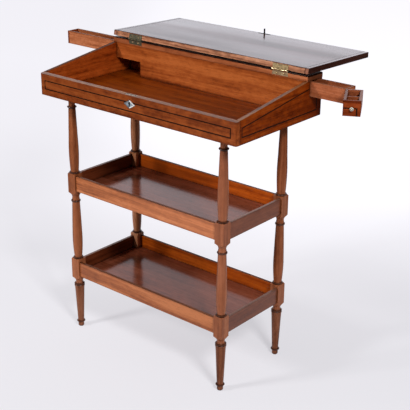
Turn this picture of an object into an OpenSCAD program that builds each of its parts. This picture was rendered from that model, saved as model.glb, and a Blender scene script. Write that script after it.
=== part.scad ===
// Slant-front writing table on four turned legs, with two trays below.
// Lid folded back, side drawers pulled out, end box of the right drawer swivelled forward.
// Drawn with X to the right, Y to the back and Z up, each moving group first in its closed place.

/* [Case] */
// Width of the case over its sides
case_w = 640; // [600:1:700]
// Depth of the case, front face to back face
case_d = 328; // [318:1:360]
// Height of the case's underside above the floor
case_z = 668; // [640:1:700]
// Height of the back part, underside to the surface of the fixed top
back_h = 107; // [100:1:120]
// Slope of the closed lid, in degrees
lid_slope = 7.9; // [6:0.1:9]
// Thickness of the front
front_t = 12.5; // [11:0.5:14]
// Thickness of the two sides
panel_t = 10; // [9:0.5:12]
// Thickness of the bottom board
bottom_t = 10; // [9:0.5:12]
// Thickness of the back board
back_t = 10; // [8:0.5:12]
// Thickness of the wall between the well and the drawers
partition_t = 10; // [8:0.5:12]
// Depth of the fixed top, hinge line to the back of the case
fixed_d = 61; // [58:1:66]
// Thickness of the fixed top
fixed_t = 14; // [12:0.5:16]
// Overhang of the fixed top at the back
fixed_over = 1; // [0:0.5:3]
// Radius of the fixed top's rounded back edge
nose_r = 4; // [2:0.5:6]
// Radius of the two upright front corners
corner_r = 5; // [2:0.5:8]

/* [Pigeonhole] */
// Width of the opening at the left end of the well
pigeon_w = 88; // [60:1:120]
// Thickness of the upright that closes the pigeonhole
pigeon_end_t = 6; // [4:0.5:8]
// Thickness of the board that the drawers run on
runner_t = 5; // [4:0.5:6]

/* [Lid] */
// Thickness of the lid
lid_t = 14; // [12:0.5:16]
// Distance of the closed lid's front edge behind the front face
lid_setback = 0; // [0:0.5:3]
// Width of the cross-grain clamp at each end of the lid
cleat_w = 11; // [9:0.5:30]
// Gap between the closed lid and the edges that carry it
seat_gap = 0.3; // [0.2:0.1:0.5]
// Angle that the open lid leans back, in degrees
lid_lean = 1.6; // [0.5:0.1:3]

/* [Hinges] */
// Length of each hinge
hinge_l = 46; // [40:1:60]
// Distance of each hinge's middle from the case's side
hinge_in = 81; // [50:1:110]
// Height of the pin's axis above the fixed top's surface
hinge_rise = 2; // [1.8:0.1:2.2]
// Distance of the pin's axis in front of the fixed top's edge
hinge_out = 0.8; // [0.6:0.1:1.2]
// Thickness of a leaf
leaf_t = 1.6; // [1.2:0.1:2]
// Height of a leaf below the pin's axis
leaf_h = 13.4; // [11:0.1:14]
// Outer radius of the knuckles
knuckle_r = 2.7; // [2.4:0.1:3]
// Radius of the hinge pin
pin_r = 1.1; // [0.8:0.1:1.3]
// Radial play of every pin in its bore
pin_play = 0.05; // [0.03:0.01:0.08]
// Gap between neighbouring knuckles, along and around them
knuckle_gap = 0.3; // [0.2:0.1:0.5]
// Radius of a screw's head
screw_head_r = 2.4; // [2:0.1:2.8]
// Radius of a screw's shank
screw_r = 1.1; // [0.9:0.1:1.4]
// Length of a screw
screw_l = 8; // [6:0.5:10]
// Length of a screw's point
screw_point_l = 2; // [1:0.5:3]
// Width and depth of the slot in a screw's head
screw_slot = 0.7; // [0.5:0.1:0.9]
// Height of the straight part of a screw's hole under its countersink
screw_land = 0.3; // [0.2:0.1:0.5]
// Distance between the two screws of a leaf
screw_pitch = 20; // [16:1:26]

/* [Side drawers] */
// Distance that each drawer is pulled out
drawer_out = 196; // [150:1:210]
// Height of the drawers
drawer_h = 36; // [30:0.5:40]
// Play beside the drawers
drawer_play = 0.5; // [0.3:0.1:1]
// Play under the drawers
drawer_rest = 0.3; // [0.2:0.1:0.5]
// Play above the drawers
drawer_top_play = 0.7; // [0.5:0.1:1.5]
// Thickness of the drawers' walls
wall_t = 6; // [5:0.5:7]
// Thickness of the drawers' mahogany faces
face_t = 5; // [4:0.5:7]
// Thickness of the drawers' bottoms
drawer_bottom_t = 4; // [3:0.5:5]
// Height of the bottoms above the walls' lower edges
drawer_bottom_z = 1; // [0.5:0.5:3]
// Thickness of the upright between the two drawers
divider_t = 6; // [4:0.5:8]
// Gap between a closed drawer and that upright
stop_gap = 0.3; // [0.2:0.1:0.5]

/* [End box] */
// Length of the swivelling box at the right drawer's end
box_l = 96; // [85:1:105]
// Angle that the box is turned forward, in degrees
box_turn = 61; // [0:1:90]
// Gap between the box and the drawer's end
box_gap = 0.6; // [0.4:0.1:1]
// Distance of the cross wall from the box's inner end
cell_l = 55; // [40:1:65]
// Thickness of the box's cross wall
cell_wall_t = 3; // [2:0.5:4]
// Distance of the cross wall's top below the box's edge
cell_wall_drop = 1; // [0:0.5:3]
// Radius of the pin that the box swivels on
box_pin_r = 1; // [0.8:0.1:1.2]

/* [Knobs] */
// Largest radius of a knob
knob_r = 4.5; // [3.5:0.1:5.5]
// Length of a knob in front of its face
knob_l = 9; // [7:0.5:11]
// Radius of a knob's foot on the face
knob_foot_r = 2.8; // [2.4:0.1:3.4]
// Height of a knob's foot
knob_foot_h = 0.8; // [0.5:0.1:1.2]
// Radius of a knob's neck
knob_neck_r = 1.85; // [1.6:0.05:2.3]
// Height of a knob's head, from its widest place to its top
knob_dome_h = 3.4; // [2.6:0.1:4]
// Angle of a knob's round head below its widest place, in degrees
knob_under = 40; // [30:10:50]
// Radius of a knob's stem in the face
knob_stem_r = 1.5; // [1.2:0.1:1.6]
// Length of a knob's stem
knob_stem_l = 4; // [3:0.5:6]

/* [String inlay] */
// Width of the dark strings
string_w = 3; // [2:0.5:4]
// Depth of the strings in the wood
string_d = 0.8; // [0.5:0.1:1.2]
// Distance of the strings from the edges of the front
front_margin = 15.5; // [12:0.5:20]
// Distance of the strings from the upright and sloped edges of the sides
side_margin = 18; // [14:0.5:22]

/* [Lock] */
// Place of the lock to the right of the middle
lock_x = -4; // [-20:1:20]
// Depth of the lozenge's middle below the front's top edge
lozenge_drop = 21.5; // [20:0.5:22.5]
// Width of the lozenge escutcheon
lozenge_w = 39; // [34:1:44]
// Height of the lozenge escutcheon
lozenge_h = 24; // [20:1:26]
// Width of the lozenge's pale rim
lozenge_rim = 3; // [2:0.5:4]
// Depth of the lozenge in the wood
lozenge_d = 1; // [0.8:0.1:1.4]
// Distance that the lozenge stands proud of the front
lozenge_proud = 0.4; // [0.2:0.1:0.6]
// Radius of the keyhole's round part
keyhole_r = 1.9; // [1.5:0.1:2.2]
// Width of the keyhole's slot
keyhole_w = 1.8; // [1.4:0.1:2.2]
// Length of the keyhole's slot below the round part
keyhole_l = 6; // [4:0.5:7]
// Width of the lock's case
lock_w = 36; // [32:1:40]
// Height of the lock's case
lock_h = 30; // [26:1:34]
// Distance of the lock's case behind the front face
lock_front = 3; // [2.5:0.1:3.5]
// Depth of the lock's case
lock_d = 11.5; // [11:0.1:13]
// Depth of the keyhole in the lock's case
key_d = 3; // [2:0.5:4]
// Distance of the staple's foot behind the front face
staple_y = 9; // [8.6:0.1:9.4]
// Travel of the bolt
bolt_travel = 6.5; // [5.5:0.1:7]
// Length of the bolt
bolt_l = 12; // [10:0.5:13]
// Thickness of the bolt, front to back
bolt_t = 1.6; // [1.4:0.1:1.8]
// Height of the bolt
bolt_h = 3; // [2.6:0.1:3.4]
// Play around the bolt
bolt_play = 0.3; // [0.2:0.1:0.4]
// Play before, behind and beside the staple in the lock
staple_play = 0.6; // [0.4:0.1:0.8]
// Depth of the bolt below the front's top edge
bolt_drop = 9; // [8:0.5:10]
// Height of the staple below the lid
staple_h = 14; // [13:0.5:15]
// Thickness of the staple, left to right
staple_t = 2.4; // [2:0.1:3]
// Width of the staple, front to back
staple_w = 4.2; // [4:0.1:4.6]
// Length of the link plate on the lid
link_l = 40; // [36:1:48]
// Width of the link plate
link_w = 8; // [7:0.5:10]
// Thickness of the link plate
link_t = 1.2; // [1:0.1:1.6]

/* [Legs] */
// Distance of the legs' axes from the case's sides
leg_side_in = 68; // [50:1:90]
// Distance of the front legs' axes behind the front face
leg_front_y = 42; // [36:1:50]
// Distance of the back legs' axes before the back face
leg_back_in = 54; // [40:1:60]
// Side of the square blocks
block_w = 27; // [24:0.5:30]
// Underside of the lower block
low_block_z = 158; // [150:1:165]
// Height of the lower block
low_block_h = 53; // [51:1:58]
// Underside of the upper block
high_block_z = 403; // [395:1:410]
// Height of the upper block
high_block_h = 55; // [54:1:60]
// Height of the cove turned under each block
cove_h = 15; // [12:0.5:18]
// Largest radius of the two swelling shafts
shaft_r = 12.1; // [11:0.1:12.8]
// Radius of the necks above and below the shafts
neck_r = 9.3; // [8.5:0.1:9.8]
// Radius of the leg just under the case
top_r = 7.4; // [7:0.1:8]
// Height of the upper shaft's widest place above its block
upper_swell = 72; // [60:1:90]
// Height of the lower shaft's widest place above its block
lower_swell = 60; // [45:1:80]
// Straightness of the shafts' taper above the widest place
swell_power = 1.25; // [1.1:0.05:2]
// Step between a neck and the turning beside it
neck_step = 0.5; // [0.3:0.1:0.8]
// Ease of the blocks' upper corners
block_ease = 3; // [2:0.5:4]
// Radius of the thin ring under the case
top_ring_r = 10; // [9:0.1:11]
// Distance of the thin ring below the case
top_ring_drop = 29; // [20:1:36]
// Radius of the ring under the upper block
mid_ring_r = 10.8; // [10:0.1:11.6]
// Length of the neck between that ring and the block's cove
mid_neck_h = 6; // [4:0.5:8]
// Radius of the double ring under the lower block
low_ring_r = 12.3; // [11.6:0.1:13]
// Length of the neck between the double ring and the block's cove
low_neck_h = 2; // [1:0.5:4]
// Radius of the tapered lower leg at its top
taper_top_r = 11.4; // [10.5:0.1:11.5]
// Radius of the tapered lower leg above the foot's ring
taper_foot_r = 7.2; // [6.5:0.1:8]
// Radius of the foot's ring
foot_ring_r = 9.9; // [9:0.1:11]
// Height of the foot's ring above the floor
foot_ring_z = 16.5; // [14:0.5:20]
// Radius of the foot
foot_r = 6.8; // [6:0.1:7.5]
// Width of the foot's rounded edge
foot_round = 3; // [2:0.5:3.5]
// Height of the foot's rounded edge
foot_round_h = 4; // [3:0.5:5]
// Height of one turned ring
ring_h = 5; // [4:0.5:6]
// Radius of the round tenon at the leg's top
tenon_r = 5; // [4:0.1:6]
// Length of the round tenon at the leg's top
tenon_l = 7; // [5:0.5:8]

/* [Trays] */
// Underside of the lower tray
low_tray_z = 159.5; // [158.5:0.5:162]
// Underside of the upper tray
high_tray_z = 410; // [408:0.5:412]
// Height of the rails
rail_h = 42.5; // [40:0.5:47]
// Thickness of the rails
rail_t = 8; // [6:0.5:10]
// Distance of the rails behind the blocks' outer faces
rail_recess = 4; // [2:0.5:5]
// Thickness of the tray boards
tray_t = 7; // [6:0.5:9]
// Length of the rails' tenons
rail_tenon_l = 6; // [4:0.5:7]
// Thickness of the rails' tenons
rail_tenon_t = 4; // [3:0.5:5]
// Shoulder above and below the rails' tenons
rail_shoulder = 8; // [6:0.5:10]
// Play around the trays' boards and all tenons
fit_play = 0.15; // [0.1:0.05:0.2]

/* [Hidden] */
$fn = 48;

// A little more than a face's depth, so that cuts pass right through
eps = 0.5;
half_w = case_w / 2;
inner_x = half_w - panel_t;
top_z = case_z + back_h;
fixed_z = top_z - fixed_t;
floor_z = case_z + bottom_t;
hinge_y = case_d - fixed_d;
hinge_x = half_w - hinge_in;
back_y = case_d - back_t;

// Hinge axis, and the slope of everything that is parallel to the closed lid
axis_y = hinge_y - hinge_out;
axis_z = top_z + hinge_rise;
lid_in = hinge_rise + lid_t;
function sloped_z(y, depth) = axis_z - (axis_y - y) * tan(lid_slope) - depth / cos(lid_slope);
function rest_z(y) = sloped_z(y, lid_in + seat_gap);
front_top_z = rest_z(0);

// The open lid leans back a little over the fixed top
lid_swing = 180 + lid_slope + lid_lean;
lid_far = (axis_y - lid_setback + hinge_rise * sin(lid_slope)) / cos(lid_slope);

// Drawers, in their closed place
drawer_y0 = hinge_y + partition_t + drawer_play;
drawer_y1 = back_y - drawer_play;
drawer_w = drawer_y1 - drawer_y0;
drawer_z1 = fixed_z - drawer_top_play;
drawer_l = half_w - divider_t / 2 - stop_gap;
drawer_z0 = drawer_z1 - drawer_h;
runner_z = drawer_z0 - drawer_rest - runner_t;
pivot_x = half_w - box_l;
pivot_y = drawer_y0 + wall_t / 2;
pivot_cut_r = wall_t / 2 + knuckle_gap;
knob_z = drawer_z0 + drawer_h / 2;
knob_y = drawer_y0 + drawer_w / 2;

// Legs
leg_x = half_w - leg_side_in;
leg_back_y = case_d - leg_back_in;
block_h2 = block_w / 2;
corner_reach = block_h2 * sqrt(2);
low_block_top = low_block_z + low_block_h;
high_block_top = high_block_z + high_block_h;
low_cove_z = low_block_z - cove_h;
high_cove_z = high_block_z - cove_h;
top_ring_z = case_z - top_ring_drop;
rail_inset = block_h2 - rail_recess - rail_t;

// Lock, seated under the front's sloped top edge
lozenge_z = front_top_z - lozenge_drop;
bolt_z = front_top_z - bolt_drop;
lock_top = rest_z(lock_front) - seat_gap;
slot_x = staple_t / 2 + staple_play;
bolt_rest_x = lock_x - slot_x - bolt_play - bolt_l;

// The staple sweeps forward as it rises out of the lock on its arc round the hinges
staple_r = (axis_y - staple_y + lid_in * sin(lid_slope)) / cos(lid_slope);
exit_slope = lid_slope - asin(staple_h / staple_r);
function tip_y(slope) = axis_y - staple_r * cos(slope) + (lid_in + staple_h) * sin(slope);
slot_y0 = tip_y(exit_slope) - staple_w / 2 - staple_play;
slot_y1 = tip_y(lid_slope) + staple_w / 2 + staple_play;

// The whole is centred on the floor under its box, in the open state
box_reach = pivot_x + drawer_out + box_l * cos(box_turn) + (drawer_w - wall_t / 2) * sin(box_turn);
left_reach = half_w + drawer_out + knob_l;
lid_reach = axis_y + lid_far * cos(lid_lean) + lid_in * sin(lid_lean);
mid_x = (box_reach - left_reach) / 2;
mid_y = (lid_reach - lozenge_proud) / 2;

// Wood and metal colours
mahogany = [0.50, 0.22, 0.09];
pale_mahogany = [0.70, 0.40, 0.22];
string_colour = [0.10, 0.05, 0.03];
brass = [0.80, 0.62, 0.28];
steel = [0.45, 0.50, 0.56];
bone = [0.86, 0.84, 0.78];

// Places the desk with its origin on the floor
module at_origin() {
    translate([-mid_x, -mid_y, 0])
        children();
}

// Turns the lid and what it carries from closed to open
module opened() {
    translate([0, axis_y, axis_z])
        rotate([-lid_swing, 0, 0])
            translate([0, -axis_y, -axis_z])
                children();
}

module left_pulled() {
    translate([-drawer_out, 0, 0])
        children();
}

module right_pulled() {
    translate([drawer_out, 0, 0])
        children();
}

// Turns the end box forward on its pin
module swivelled() {
    right_pulled()
        translate([pivot_x, pivot_y, 0])
            rotate([0, 0, -box_turn])
                translate([-pivot_x, -pivot_y, 0])
                    children();
}

// Box between two corners
module block(low, high) {
    translate(low)
        cube(high - low);
}

// Extrudes an outline of the Y and Z plane from x0 to x1
module along_x(x0, x1) {
    translate([x0, 0, 0])
        rotate([90, 0, 90])
            linear_extrude(height = x1 - x0)
                children();
}

module copies_at(places) {
    for (x = places)
        translate([x, 0, 0])
            children();
}

// Case

// Outline of a side, sloped on top in front of the hinge line
module side_outline(y0) {
    polygon([[y0, case_z], [case_d, case_z], [case_d, fixed_z], [hinge_y, fixed_z],
        [hinge_y, min(fixed_z, rest_z(hinge_y))], [y0, rest_z(y0)]]);
}

module drawer_opening(x0, x1) {
    block([x0, hinge_y + partition_t, runner_z + runner_t], [x1, back_y, fixed_z + eps]);
}

// Outline of the string on a side, drawn in by the given width
module string_outline(inset) {
    margin = side_margin + inset;
    z0 = case_z + front_margin + inset;
    rise = margin / cos(lid_slope);
    kink_y = hinge_y + partition_t;
    kink_z = rest_z(kink_y) - rise;
    polygon([[margin, z0], [case_d - margin, z0], [case_d - margin, kink_z], [kink_y, kink_z],
        [margin, rest_z(margin) - rise]]);
}

module side_string(x0, x1) {
    along_x(x0, x1)
        difference() {
            string_outline(0);
            string_outline(string_w);
        }
}

module left_side() {
    color(mahogany)
        at_origin()
            difference() {
                along_x(-half_w, -inner_x)
                    side_outline(front_t);
                drawer_opening(-half_w - eps, -inner_x + eps);
                side_string(-half_w - eps, -half_w + string_d);
            }
}

module right_side() {
    color(mahogany)
        at_origin()
            difference() {
                along_x(inner_x, half_w)
                    side_outline(front_t);
                drawer_opening(inner_x - eps, half_w + eps);
                side_string(half_w - string_d, half_w + eps);
            }
}

module left_string() {
    color(string_colour)
        at_origin()
            difference() {
                side_string(-half_w, -half_w + string_d);
                drawer_opening(-half_w - eps, -inner_x);
            }
}

module right_string() {
    color(string_colour)
        at_origin()
            difference() {
                side_string(half_w - string_d, half_w);
                drawer_opening(inner_x, half_w + eps);
            }
}

module front_outline() {
    polygon([[0, case_z], [front_t, case_z], [front_t, rest_z(front_t)], [0, front_top_z]]);
}

// Plan of the front, with its outer corners rounded
module front_plan() {
    translate([-half_w + corner_r, 0])
        square([case_w - 2 * corner_r, front_t]);
    translate([-half_w, corner_r])
        square([case_w, front_t - corner_r]);
    for (side = [-1, 1])
        translate([side * (half_w - corner_r), corner_r])
            circle(r = corner_r);
}

// Rectangle of the string on the front, from y0 back into the wood
module front_string_ring(y0) {
    z0 = case_z + front_margin;
    z1 = front_top_z - front_margin;
    x1 = half_w - front_margin;
    difference() {
        block([-x1, y0, z0], [x1, string_d, z1]);
        block([-x1 + string_w, y0 - eps, z0 + string_w], [x1 - string_w, string_d + eps, z1 - string_w]);
    }
}

// Outline of a lozenge in the X and Z plane, drawn in by the given width
module lozenge(inset, depth) {
    half_l = lozenge_w / 2;
    half_v = lozenge_h / 2;
    cut = inset / sin(atan(half_v / half_l));
    w = half_l - cut;
    h = w * half_v / half_l;
    translate([lock_x, depth - lozenge_proud, lozenge_z])
        rotate([90, 0, 0])
            linear_extrude(height = depth)
                polygon([[-w, 0], [0, -h], [w, 0], [0, h]]);
}

lozenge_depth = lozenge_d + lozenge_proud;

module keyhole(depth) {
    translate([lock_x, 0, lozenge_z + keyhole_l / 3]) {
        translate([0, -eps, 0])
            rotate([-90, 0, 0])
                cylinder(r = keyhole_r, h = depth + eps);
        translate([-keyhole_w / 2, -eps, -keyhole_l])
            cube([keyhole_w, depth + eps, keyhole_l]);
    }
}

module lozenge_rim_plate() {
    color(bone)
        at_origin()
            difference() {
                lozenge(0, lozenge_depth);
                translate([0, -eps, 0])
                    lozenge(lozenge_rim, lozenge_depth + 2 * eps);
            }
}

module lozenge_plate() {
    color(steel)
        at_origin()
            difference() {
                lozenge(lozenge_rim, lozenge_depth);
                keyhole(lozenge_depth + eps);
            }
}

// Space of the lock's case in the front panel
module lock_body(play) {
    block([lock_x - lock_w / 2 - play, lock_front - play, front_top_z - lock_h - play],
        [lock_x + lock_w / 2 + play, lock_front + lock_d + play, lock_top]);
}

module front_panel() {
    color(mahogany)
        at_origin()
            difference() {
                intersection() {
                    translate([0, 0, case_z])
                        linear_extrude(height = back_h)
                            front_plan();
                    along_x(-half_w, half_w)
                        front_outline();
                }
                front_string_ring(-eps);
                lozenge(0, lozenge_depth);
                keyhole(lock_front + eps);
                lock_body(0);
                translate([0, 0, lock_h])
                    lock_body(0);
            }
}

// The lozenge interrupts the upper string
module front_string() {
    color(string_colour)
        at_origin()
            difference() {
                front_string_ring(0);
                lozenge(0, lozenge_depth);
            }
}

module bottom_board() {
    color(mahogany)
        at_origin()
            difference() {
                block([-inner_x, front_t, case_z], [inner_x, back_y, floor_z]);
                for (x = [-leg_x, leg_x])
                    for (y = [leg_front_y, leg_back_y])
                        translate([x, y, case_z - eps])
                            cylinder(r = tenon_r + fit_play, h = tenon_l + fit_play + eps);
            }
}

module partition() {
    color(pale_mahogany)
        at_origin()
            difference() {
                block([-inner_x, hinge_y, floor_z], [inner_x, hinge_y + partition_t, fixed_z]);
                block([-inner_x - eps, hinge_y - eps, floor_z - eps],
                    [-inner_x + pigeon_w, hinge_y + partition_t + eps, runner_z]);
            }
}

module back_panel() {
    color(mahogany)
        at_origin()
            block([-inner_x, back_y, case_z], [inner_x, case_d, fixed_z]);
}

module runner_board() {
    color(pale_mahogany)
        at_origin()
            block([-inner_x, hinge_y + partition_t, runner_z], [inner_x, back_y, runner_z + runner_t]);
}

module drawer_stop() {
    color(pale_mahogany)
        at_origin()
            block([-divider_t / 2, hinge_y + partition_t, runner_z + runner_t],
                [divider_t / 2, back_y, fixed_z]);
}

module pigeonhole_end() {
    color(pale_mahogany)
        at_origin()
            block([-inner_x + pigeon_w, hinge_y + partition_t, floor_z],
                [-inner_x + pigeon_w + pigeon_end_t, back_y, runner_z]);
}

// Recesses for the knuckles and leaves in the edge behind the hinge axis
module hinge_recess() {
    copies_at([-hinge_x, hinge_x])
        translate([-hinge_l / 2 - fit_play, axis_y, axis_z]) {
            rotate([0, 90, 0])
                cylinder(r = knuckle_r + knuckle_gap, h = hinge_l + 2 * fit_play);
            translate([0, 0, -leaf_h - fit_play])
                cube([hinge_l + 2 * fit_play, hinge_out + leaf_t, leaf_h + fit_play]);
        }
}

// Holes for the screws of the leaves behind the hinge axis
module hinge_screw_holes() {
    copies_at([-hinge_x - screw_pitch / 2, -hinge_x + screw_pitch / 2,
        hinge_x - screw_pitch / 2, hinge_x + screw_pitch / 2])
        translate([0, axis_y + hinge_out, screw_z])
            rotate([-90, 0, 0])
                cylinder(r = screw_r, h = screw_l);
}

screw_z = axis_z - (leaf_h + knuckle_r) / 2;

module fixed_top() {
    color(mahogany)
        at_origin()
            difference() {
                union() {
                    block([-half_w, hinge_y, fixed_z], [half_w, case_d + fixed_over - nose_r, top_z]);
                    block([-half_w, hinge_y, fixed_z], [half_w, case_d + fixed_over, top_z - nose_r]);
                    translate([-half_w, case_d + fixed_over - nose_r, top_z - nose_r])
                        rotate([0, 90, 0])
                            cylinder(r = nose_r, h = case_w);
                }
                hinge_recess();
                hinge_screw_holes();
            }
}

// Hinges

// Third of a hinge's length, from its left end
function third(i) = -hinge_l / 2 + i * hinge_l / 3;

// One leaf behind the axis, with its knuckles in the listed thirds
module leaf(own, others) {
    difference() {
        union() {
            translate([-hinge_l / 2, hinge_out, -leaf_h])
                cube([hinge_l, leaf_t, leaf_h - pin_r]);
            for (i = own)
                translate([third(i), 0, 0])
                    rotate([0, 90, 0])
                        cylinder(r = knuckle_r, h = hinge_l / 3);
        }
        for (i = others)
            translate([third(i) - knuckle_gap, 0, 0])
                rotate([0, 90, 0])
                    cylinder(r = knuckle_r + knuckle_gap, h = hinge_l / 3 + 2 * knuckle_gap);
        translate([-hinge_l / 2 - eps, 0, 0])
            rotate([0, 90, 0])
                cylinder(r = pin_r + pin_play, h = hinge_l + 2 * eps);
        for (x = [-screw_pitch / 2, screw_pitch / 2])
            translate([x, hinge_out, screw_z - axis_z])
                screw_hole();
    }
}

// Countersunk hole through a leaf
module screw_hole() {
    rotate([-90, 0, 0])
        rotate_extrude()
            polygon([[0, -eps], [screw_head_r + eps, -eps], [screw_r, leaf_t - screw_land],
                [screw_r, leaf_t + eps], [0, leaf_t + eps]]);
}

// Countersunk screw with a slotted head, flush with its leaf
module screw() {
    difference() {
        rotate([-90, 0, 0])
            rotate_extrude()
                polygon([[0, 0], [screw_head_r, 0], [screw_r, leaf_t - screw_land],
                    [screw_r, screw_l - screw_point_l], [0, screw_l]]);
        translate([-screw_head_r - eps, -eps, -screw_slot / 2])
            cube([2 * screw_head_r + 2 * eps, eps + screw_slot, screw_slot]);
    }
}

module at_hinges() {
    copies_at([-hinge_x, hinge_x])
        translate([0, axis_y, axis_z])
            children();
}

// The lid's leaf and screws are the fixed ones mirrored in the upright plane of the axis
module lid_hinge_half() {
    at_origin()
        opened()
            at_hinges()
                mirror([0, 1, 0])
                    children();
}

module screw_pair() {
    for (x = [-screw_pitch / 2, screw_pitch / 2])
        translate([x, hinge_out, screw_z - axis_z])
            screw();
}

module hinge_leaf_fixed() {
    color(brass)
        at_origin()
            at_hinges()
                leaf([0, 2], [1]);
}

module hinge_leaf_lid() {
    color(brass)
        lid_hinge_half()
            leaf([1], [0, 2]);
}

module hinge_pin() {
    color(brass)
        at_origin()
            at_hinges()
                translate([-hinge_l / 2, 0, 0])
                    rotate([0, 90, 0])
                        cylinder(r = pin_r, h = hinge_l);
}

module hinge_screw_fixed() {
    color(brass)
        at_origin()
            at_hinges()
                screw_pair();
}

module hinge_screw_lid() {
    color(brass)
        lid_hinge_half()
            screw_pair();
}

// Lid

// Section of the closed lid: an upright edge at the hinges and a square one in front
module lid_section() {
    edge_y = axis_y - hinge_out;
    front_z = sloped_z(lid_setback, hinge_rise);
    polygon([[edge_y, sloped_z(edge_y, hinge_rise)], [lid_setback, front_z],
        [lid_setback + lid_t * sin(lid_slope), front_z - lid_t * cos(lid_slope)],
        [edge_y, sloped_z(edge_y, lid_in)]]);
}

module lid_panel() {
    color(mahogany)
        at_origin()
            opened()
                difference() {
                    along_x(-half_w + cleat_w, half_w - cleat_w)
                        lid_section();
                    translate([0, 2 * axis_y, 0])
                        mirror([0, 1, 0]) {
                            hinge_recess();
                            hinge_screw_holes();
                        }
                    link_pocket();
                }
}

module lid_clamp_left() {
    color(mahogany)
        at_origin()
            opened()
                along_x(-half_w, -half_w + cleat_w)
                    lid_section();
}

module lid_clamp_right() {
    color(mahogany)
        at_origin()
            opened()
                along_x(half_w - cleat_w, half_w)
                    lid_section();
}

// Lock

// Stands on the closed lid's inner face over the lock, with Z pointing into the lid
module on_lid_over_lock() {
    translate([lock_x, staple_y, sloped_z(staple_y, lid_in)])
        rotate([lid_slope, 0, 0])
            children();
}

module link_pocket() {
    on_lid_over_lock()
        translate([-link_l / 2, -link_w / 2, -eps])
            cube([link_l, link_w, link_t + eps]);
}

// Height of the staple's eye below the lid, level with the bolt
eye_drop = sloped_z(staple_y, lid_in) - bolt_z;

module link_plate() {
    color(steel)
        at_origin()
            opened()
                difference() {
                    on_lid_over_lock() {
                        translate([-link_l / 2, -link_w / 2, 0])
                            cube([link_l, link_w, link_t]);
                        translate([-staple_t / 2, -staple_w / 2, -staple_h])
                            cube([staple_t, staple_w, staple_h]);
                    }
                    on_lid_over_lock()
                        translate([-staple_t, -bolt_t / 2 - bolt_play, -eye_drop - bolt_h / 2 - bolt_play])
                            cube([2 * staple_t, bolt_t + 2 * bolt_play, bolt_h + 2 * bolt_play]);
                }
}

// Place of the bolt's middle, front to back: the middle of the staple's eye
bolt_y = staple_y + eye_drop * sin(lid_slope);

module lock_case() {
    color(steel)
        at_origin()
            difference() {
                lock_body(0);
                block([lock_x - slot_x, slot_y0, bolt_z - bolt_drop], [lock_x + slot_x, slot_y1, lock_top + eps]);
                block([bolt_rest_x - bolt_play, bolt_y - bolt_t / 2 - bolt_play,
                        bolt_z - bolt_h / 2 - bolt_play],
                    [bolt_rest_x + bolt_l + bolt_travel + bolt_play, bolt_y + bolt_t / 2 + bolt_play,
                        bolt_z + bolt_h / 2 + bolt_play]);
                keyhole(lock_front + key_d);
            }
}

module lock_bolt() {
    color(steel)
        at_origin()
            block([bolt_rest_x, bolt_y - bolt_t / 2, bolt_z - bolt_h / 2],
                [bolt_rest_x + bolt_l, bolt_y + bolt_t / 2, bolt_z + bolt_h / 2]);
}

// Side drawers

// A turned knob on a face that looks along +X, with its stem in the wood
module knob() {
    rotate([0, 90, 0])
        rotate_extrude()
            polygon(concat([[0, -knob_stem_l], [knob_stem_r, -knob_stem_l], [knob_stem_r, 0],
                [knob_foot_r, 0], [knob_foot_r, knob_foot_h], [knob_neck_r, 2 * knob_foot_h],
                [knob_neck_r, knob_l - knob_dome_h * (1 + sin(knob_under))]],
                [for (a = [-knob_under:10:90]) [knob_r * cos(a), knob_l - knob_dome_h * (1 - sin(a))]]));
}

module knob_hole() {
    translate([-knob_stem_l - fit_play, 0, 0])
        rotate([0, 90, 0])
            cylinder(r = knob_stem_r + fit_play, h = knob_stem_l + fit_play + eps);
}

// Wall along the drawers, from x0 to x1, its front at y
module long_wall(x0, x1, y) {
    block([x0, y, drawer_z0], [x1, y + wall_t, drawer_z1]);
}

// Wall across the drawers between the long walls, its left face at x
module cross_wall(x, t) {
    block([x, drawer_y0 + wall_t, drawer_z0], [x + t, drawer_y1 - wall_t, drawer_z1]);
}

module drawer_bottom(x0, x1) {
    z = drawer_z0 + drawer_bottom_z;
    block([x0, drawer_y0 + wall_t, z], [x1, drawer_y1 - wall_t, z + drawer_bottom_t]);
}

// Face in the right side's plane, with its string groove and the knob's hole
module face_plate() {
    difference() {
        block([half_w - face_t, drawer_y0, drawer_z0], [half_w, drawer_y1, drawer_z1]);
        side_string(half_w - string_d, half_w + eps);
        translate([half_w, knob_y, knob_z])
            knob_hole();
    }
}

// The string of a drawer's face, bored for the knob's stem
module face_string() {
    difference() {
        intersection() {
            side_string(half_w - string_d, half_w);
            block([half_w - face_t, drawer_y0, drawer_z0], [half_w, drawer_y1, drawer_z1]);
        }
        translate([half_w, knob_y, knob_z])
            knob_hole();
    }
}

left_inner_x = -half_w + drawer_l - wall_t;

module left_drawer_face() {
    color(mahogany)
        at_origin()
            left_pulled()
                mirror([1, 0, 0])
                    face_plate();
}

module left_drawer_string() {
    color(string_colour)
        at_origin()
            left_pulled()
                mirror([1, 0, 0])
                    face_string();
}

module left_drawer_knob() {
    color(bone)
        at_origin()
            left_pulled()
                translate([-half_w, knob_y, knob_z])
                    mirror([1, 0, 0])
                        knob();
}

module left_drawer_front_wall() {
    color(pale_mahogany)
        at_origin()
            left_pulled()
                long_wall(-half_w + face_t, -half_w + drawer_l, drawer_y0);
}

module left_drawer_rear_wall() {
    color(pale_mahogany)
        at_origin()
            left_pulled()
                long_wall(-half_w + face_t, -half_w + drawer_l, drawer_y1 - wall_t);
}

module left_drawer_end() {
    color(pale_mahogany)
        at_origin()
            left_pulled()
                cross_wall(left_inner_x, wall_t);
}

module left_drawer_bottom() {
    color(pale_mahogany)
        at_origin()
            left_pulled()
                drawer_bottom(-half_w + face_t, left_inner_x);
}

right_inner_x = half_w - drawer_l;
outer_end_x = pivot_x - box_gap / 2 - wall_t;

// Height of the joints between the three wooden knuckles of the box's pivot
function knuckle_z(i) = drawer_z0 + i * drawer_h / 3;

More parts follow.
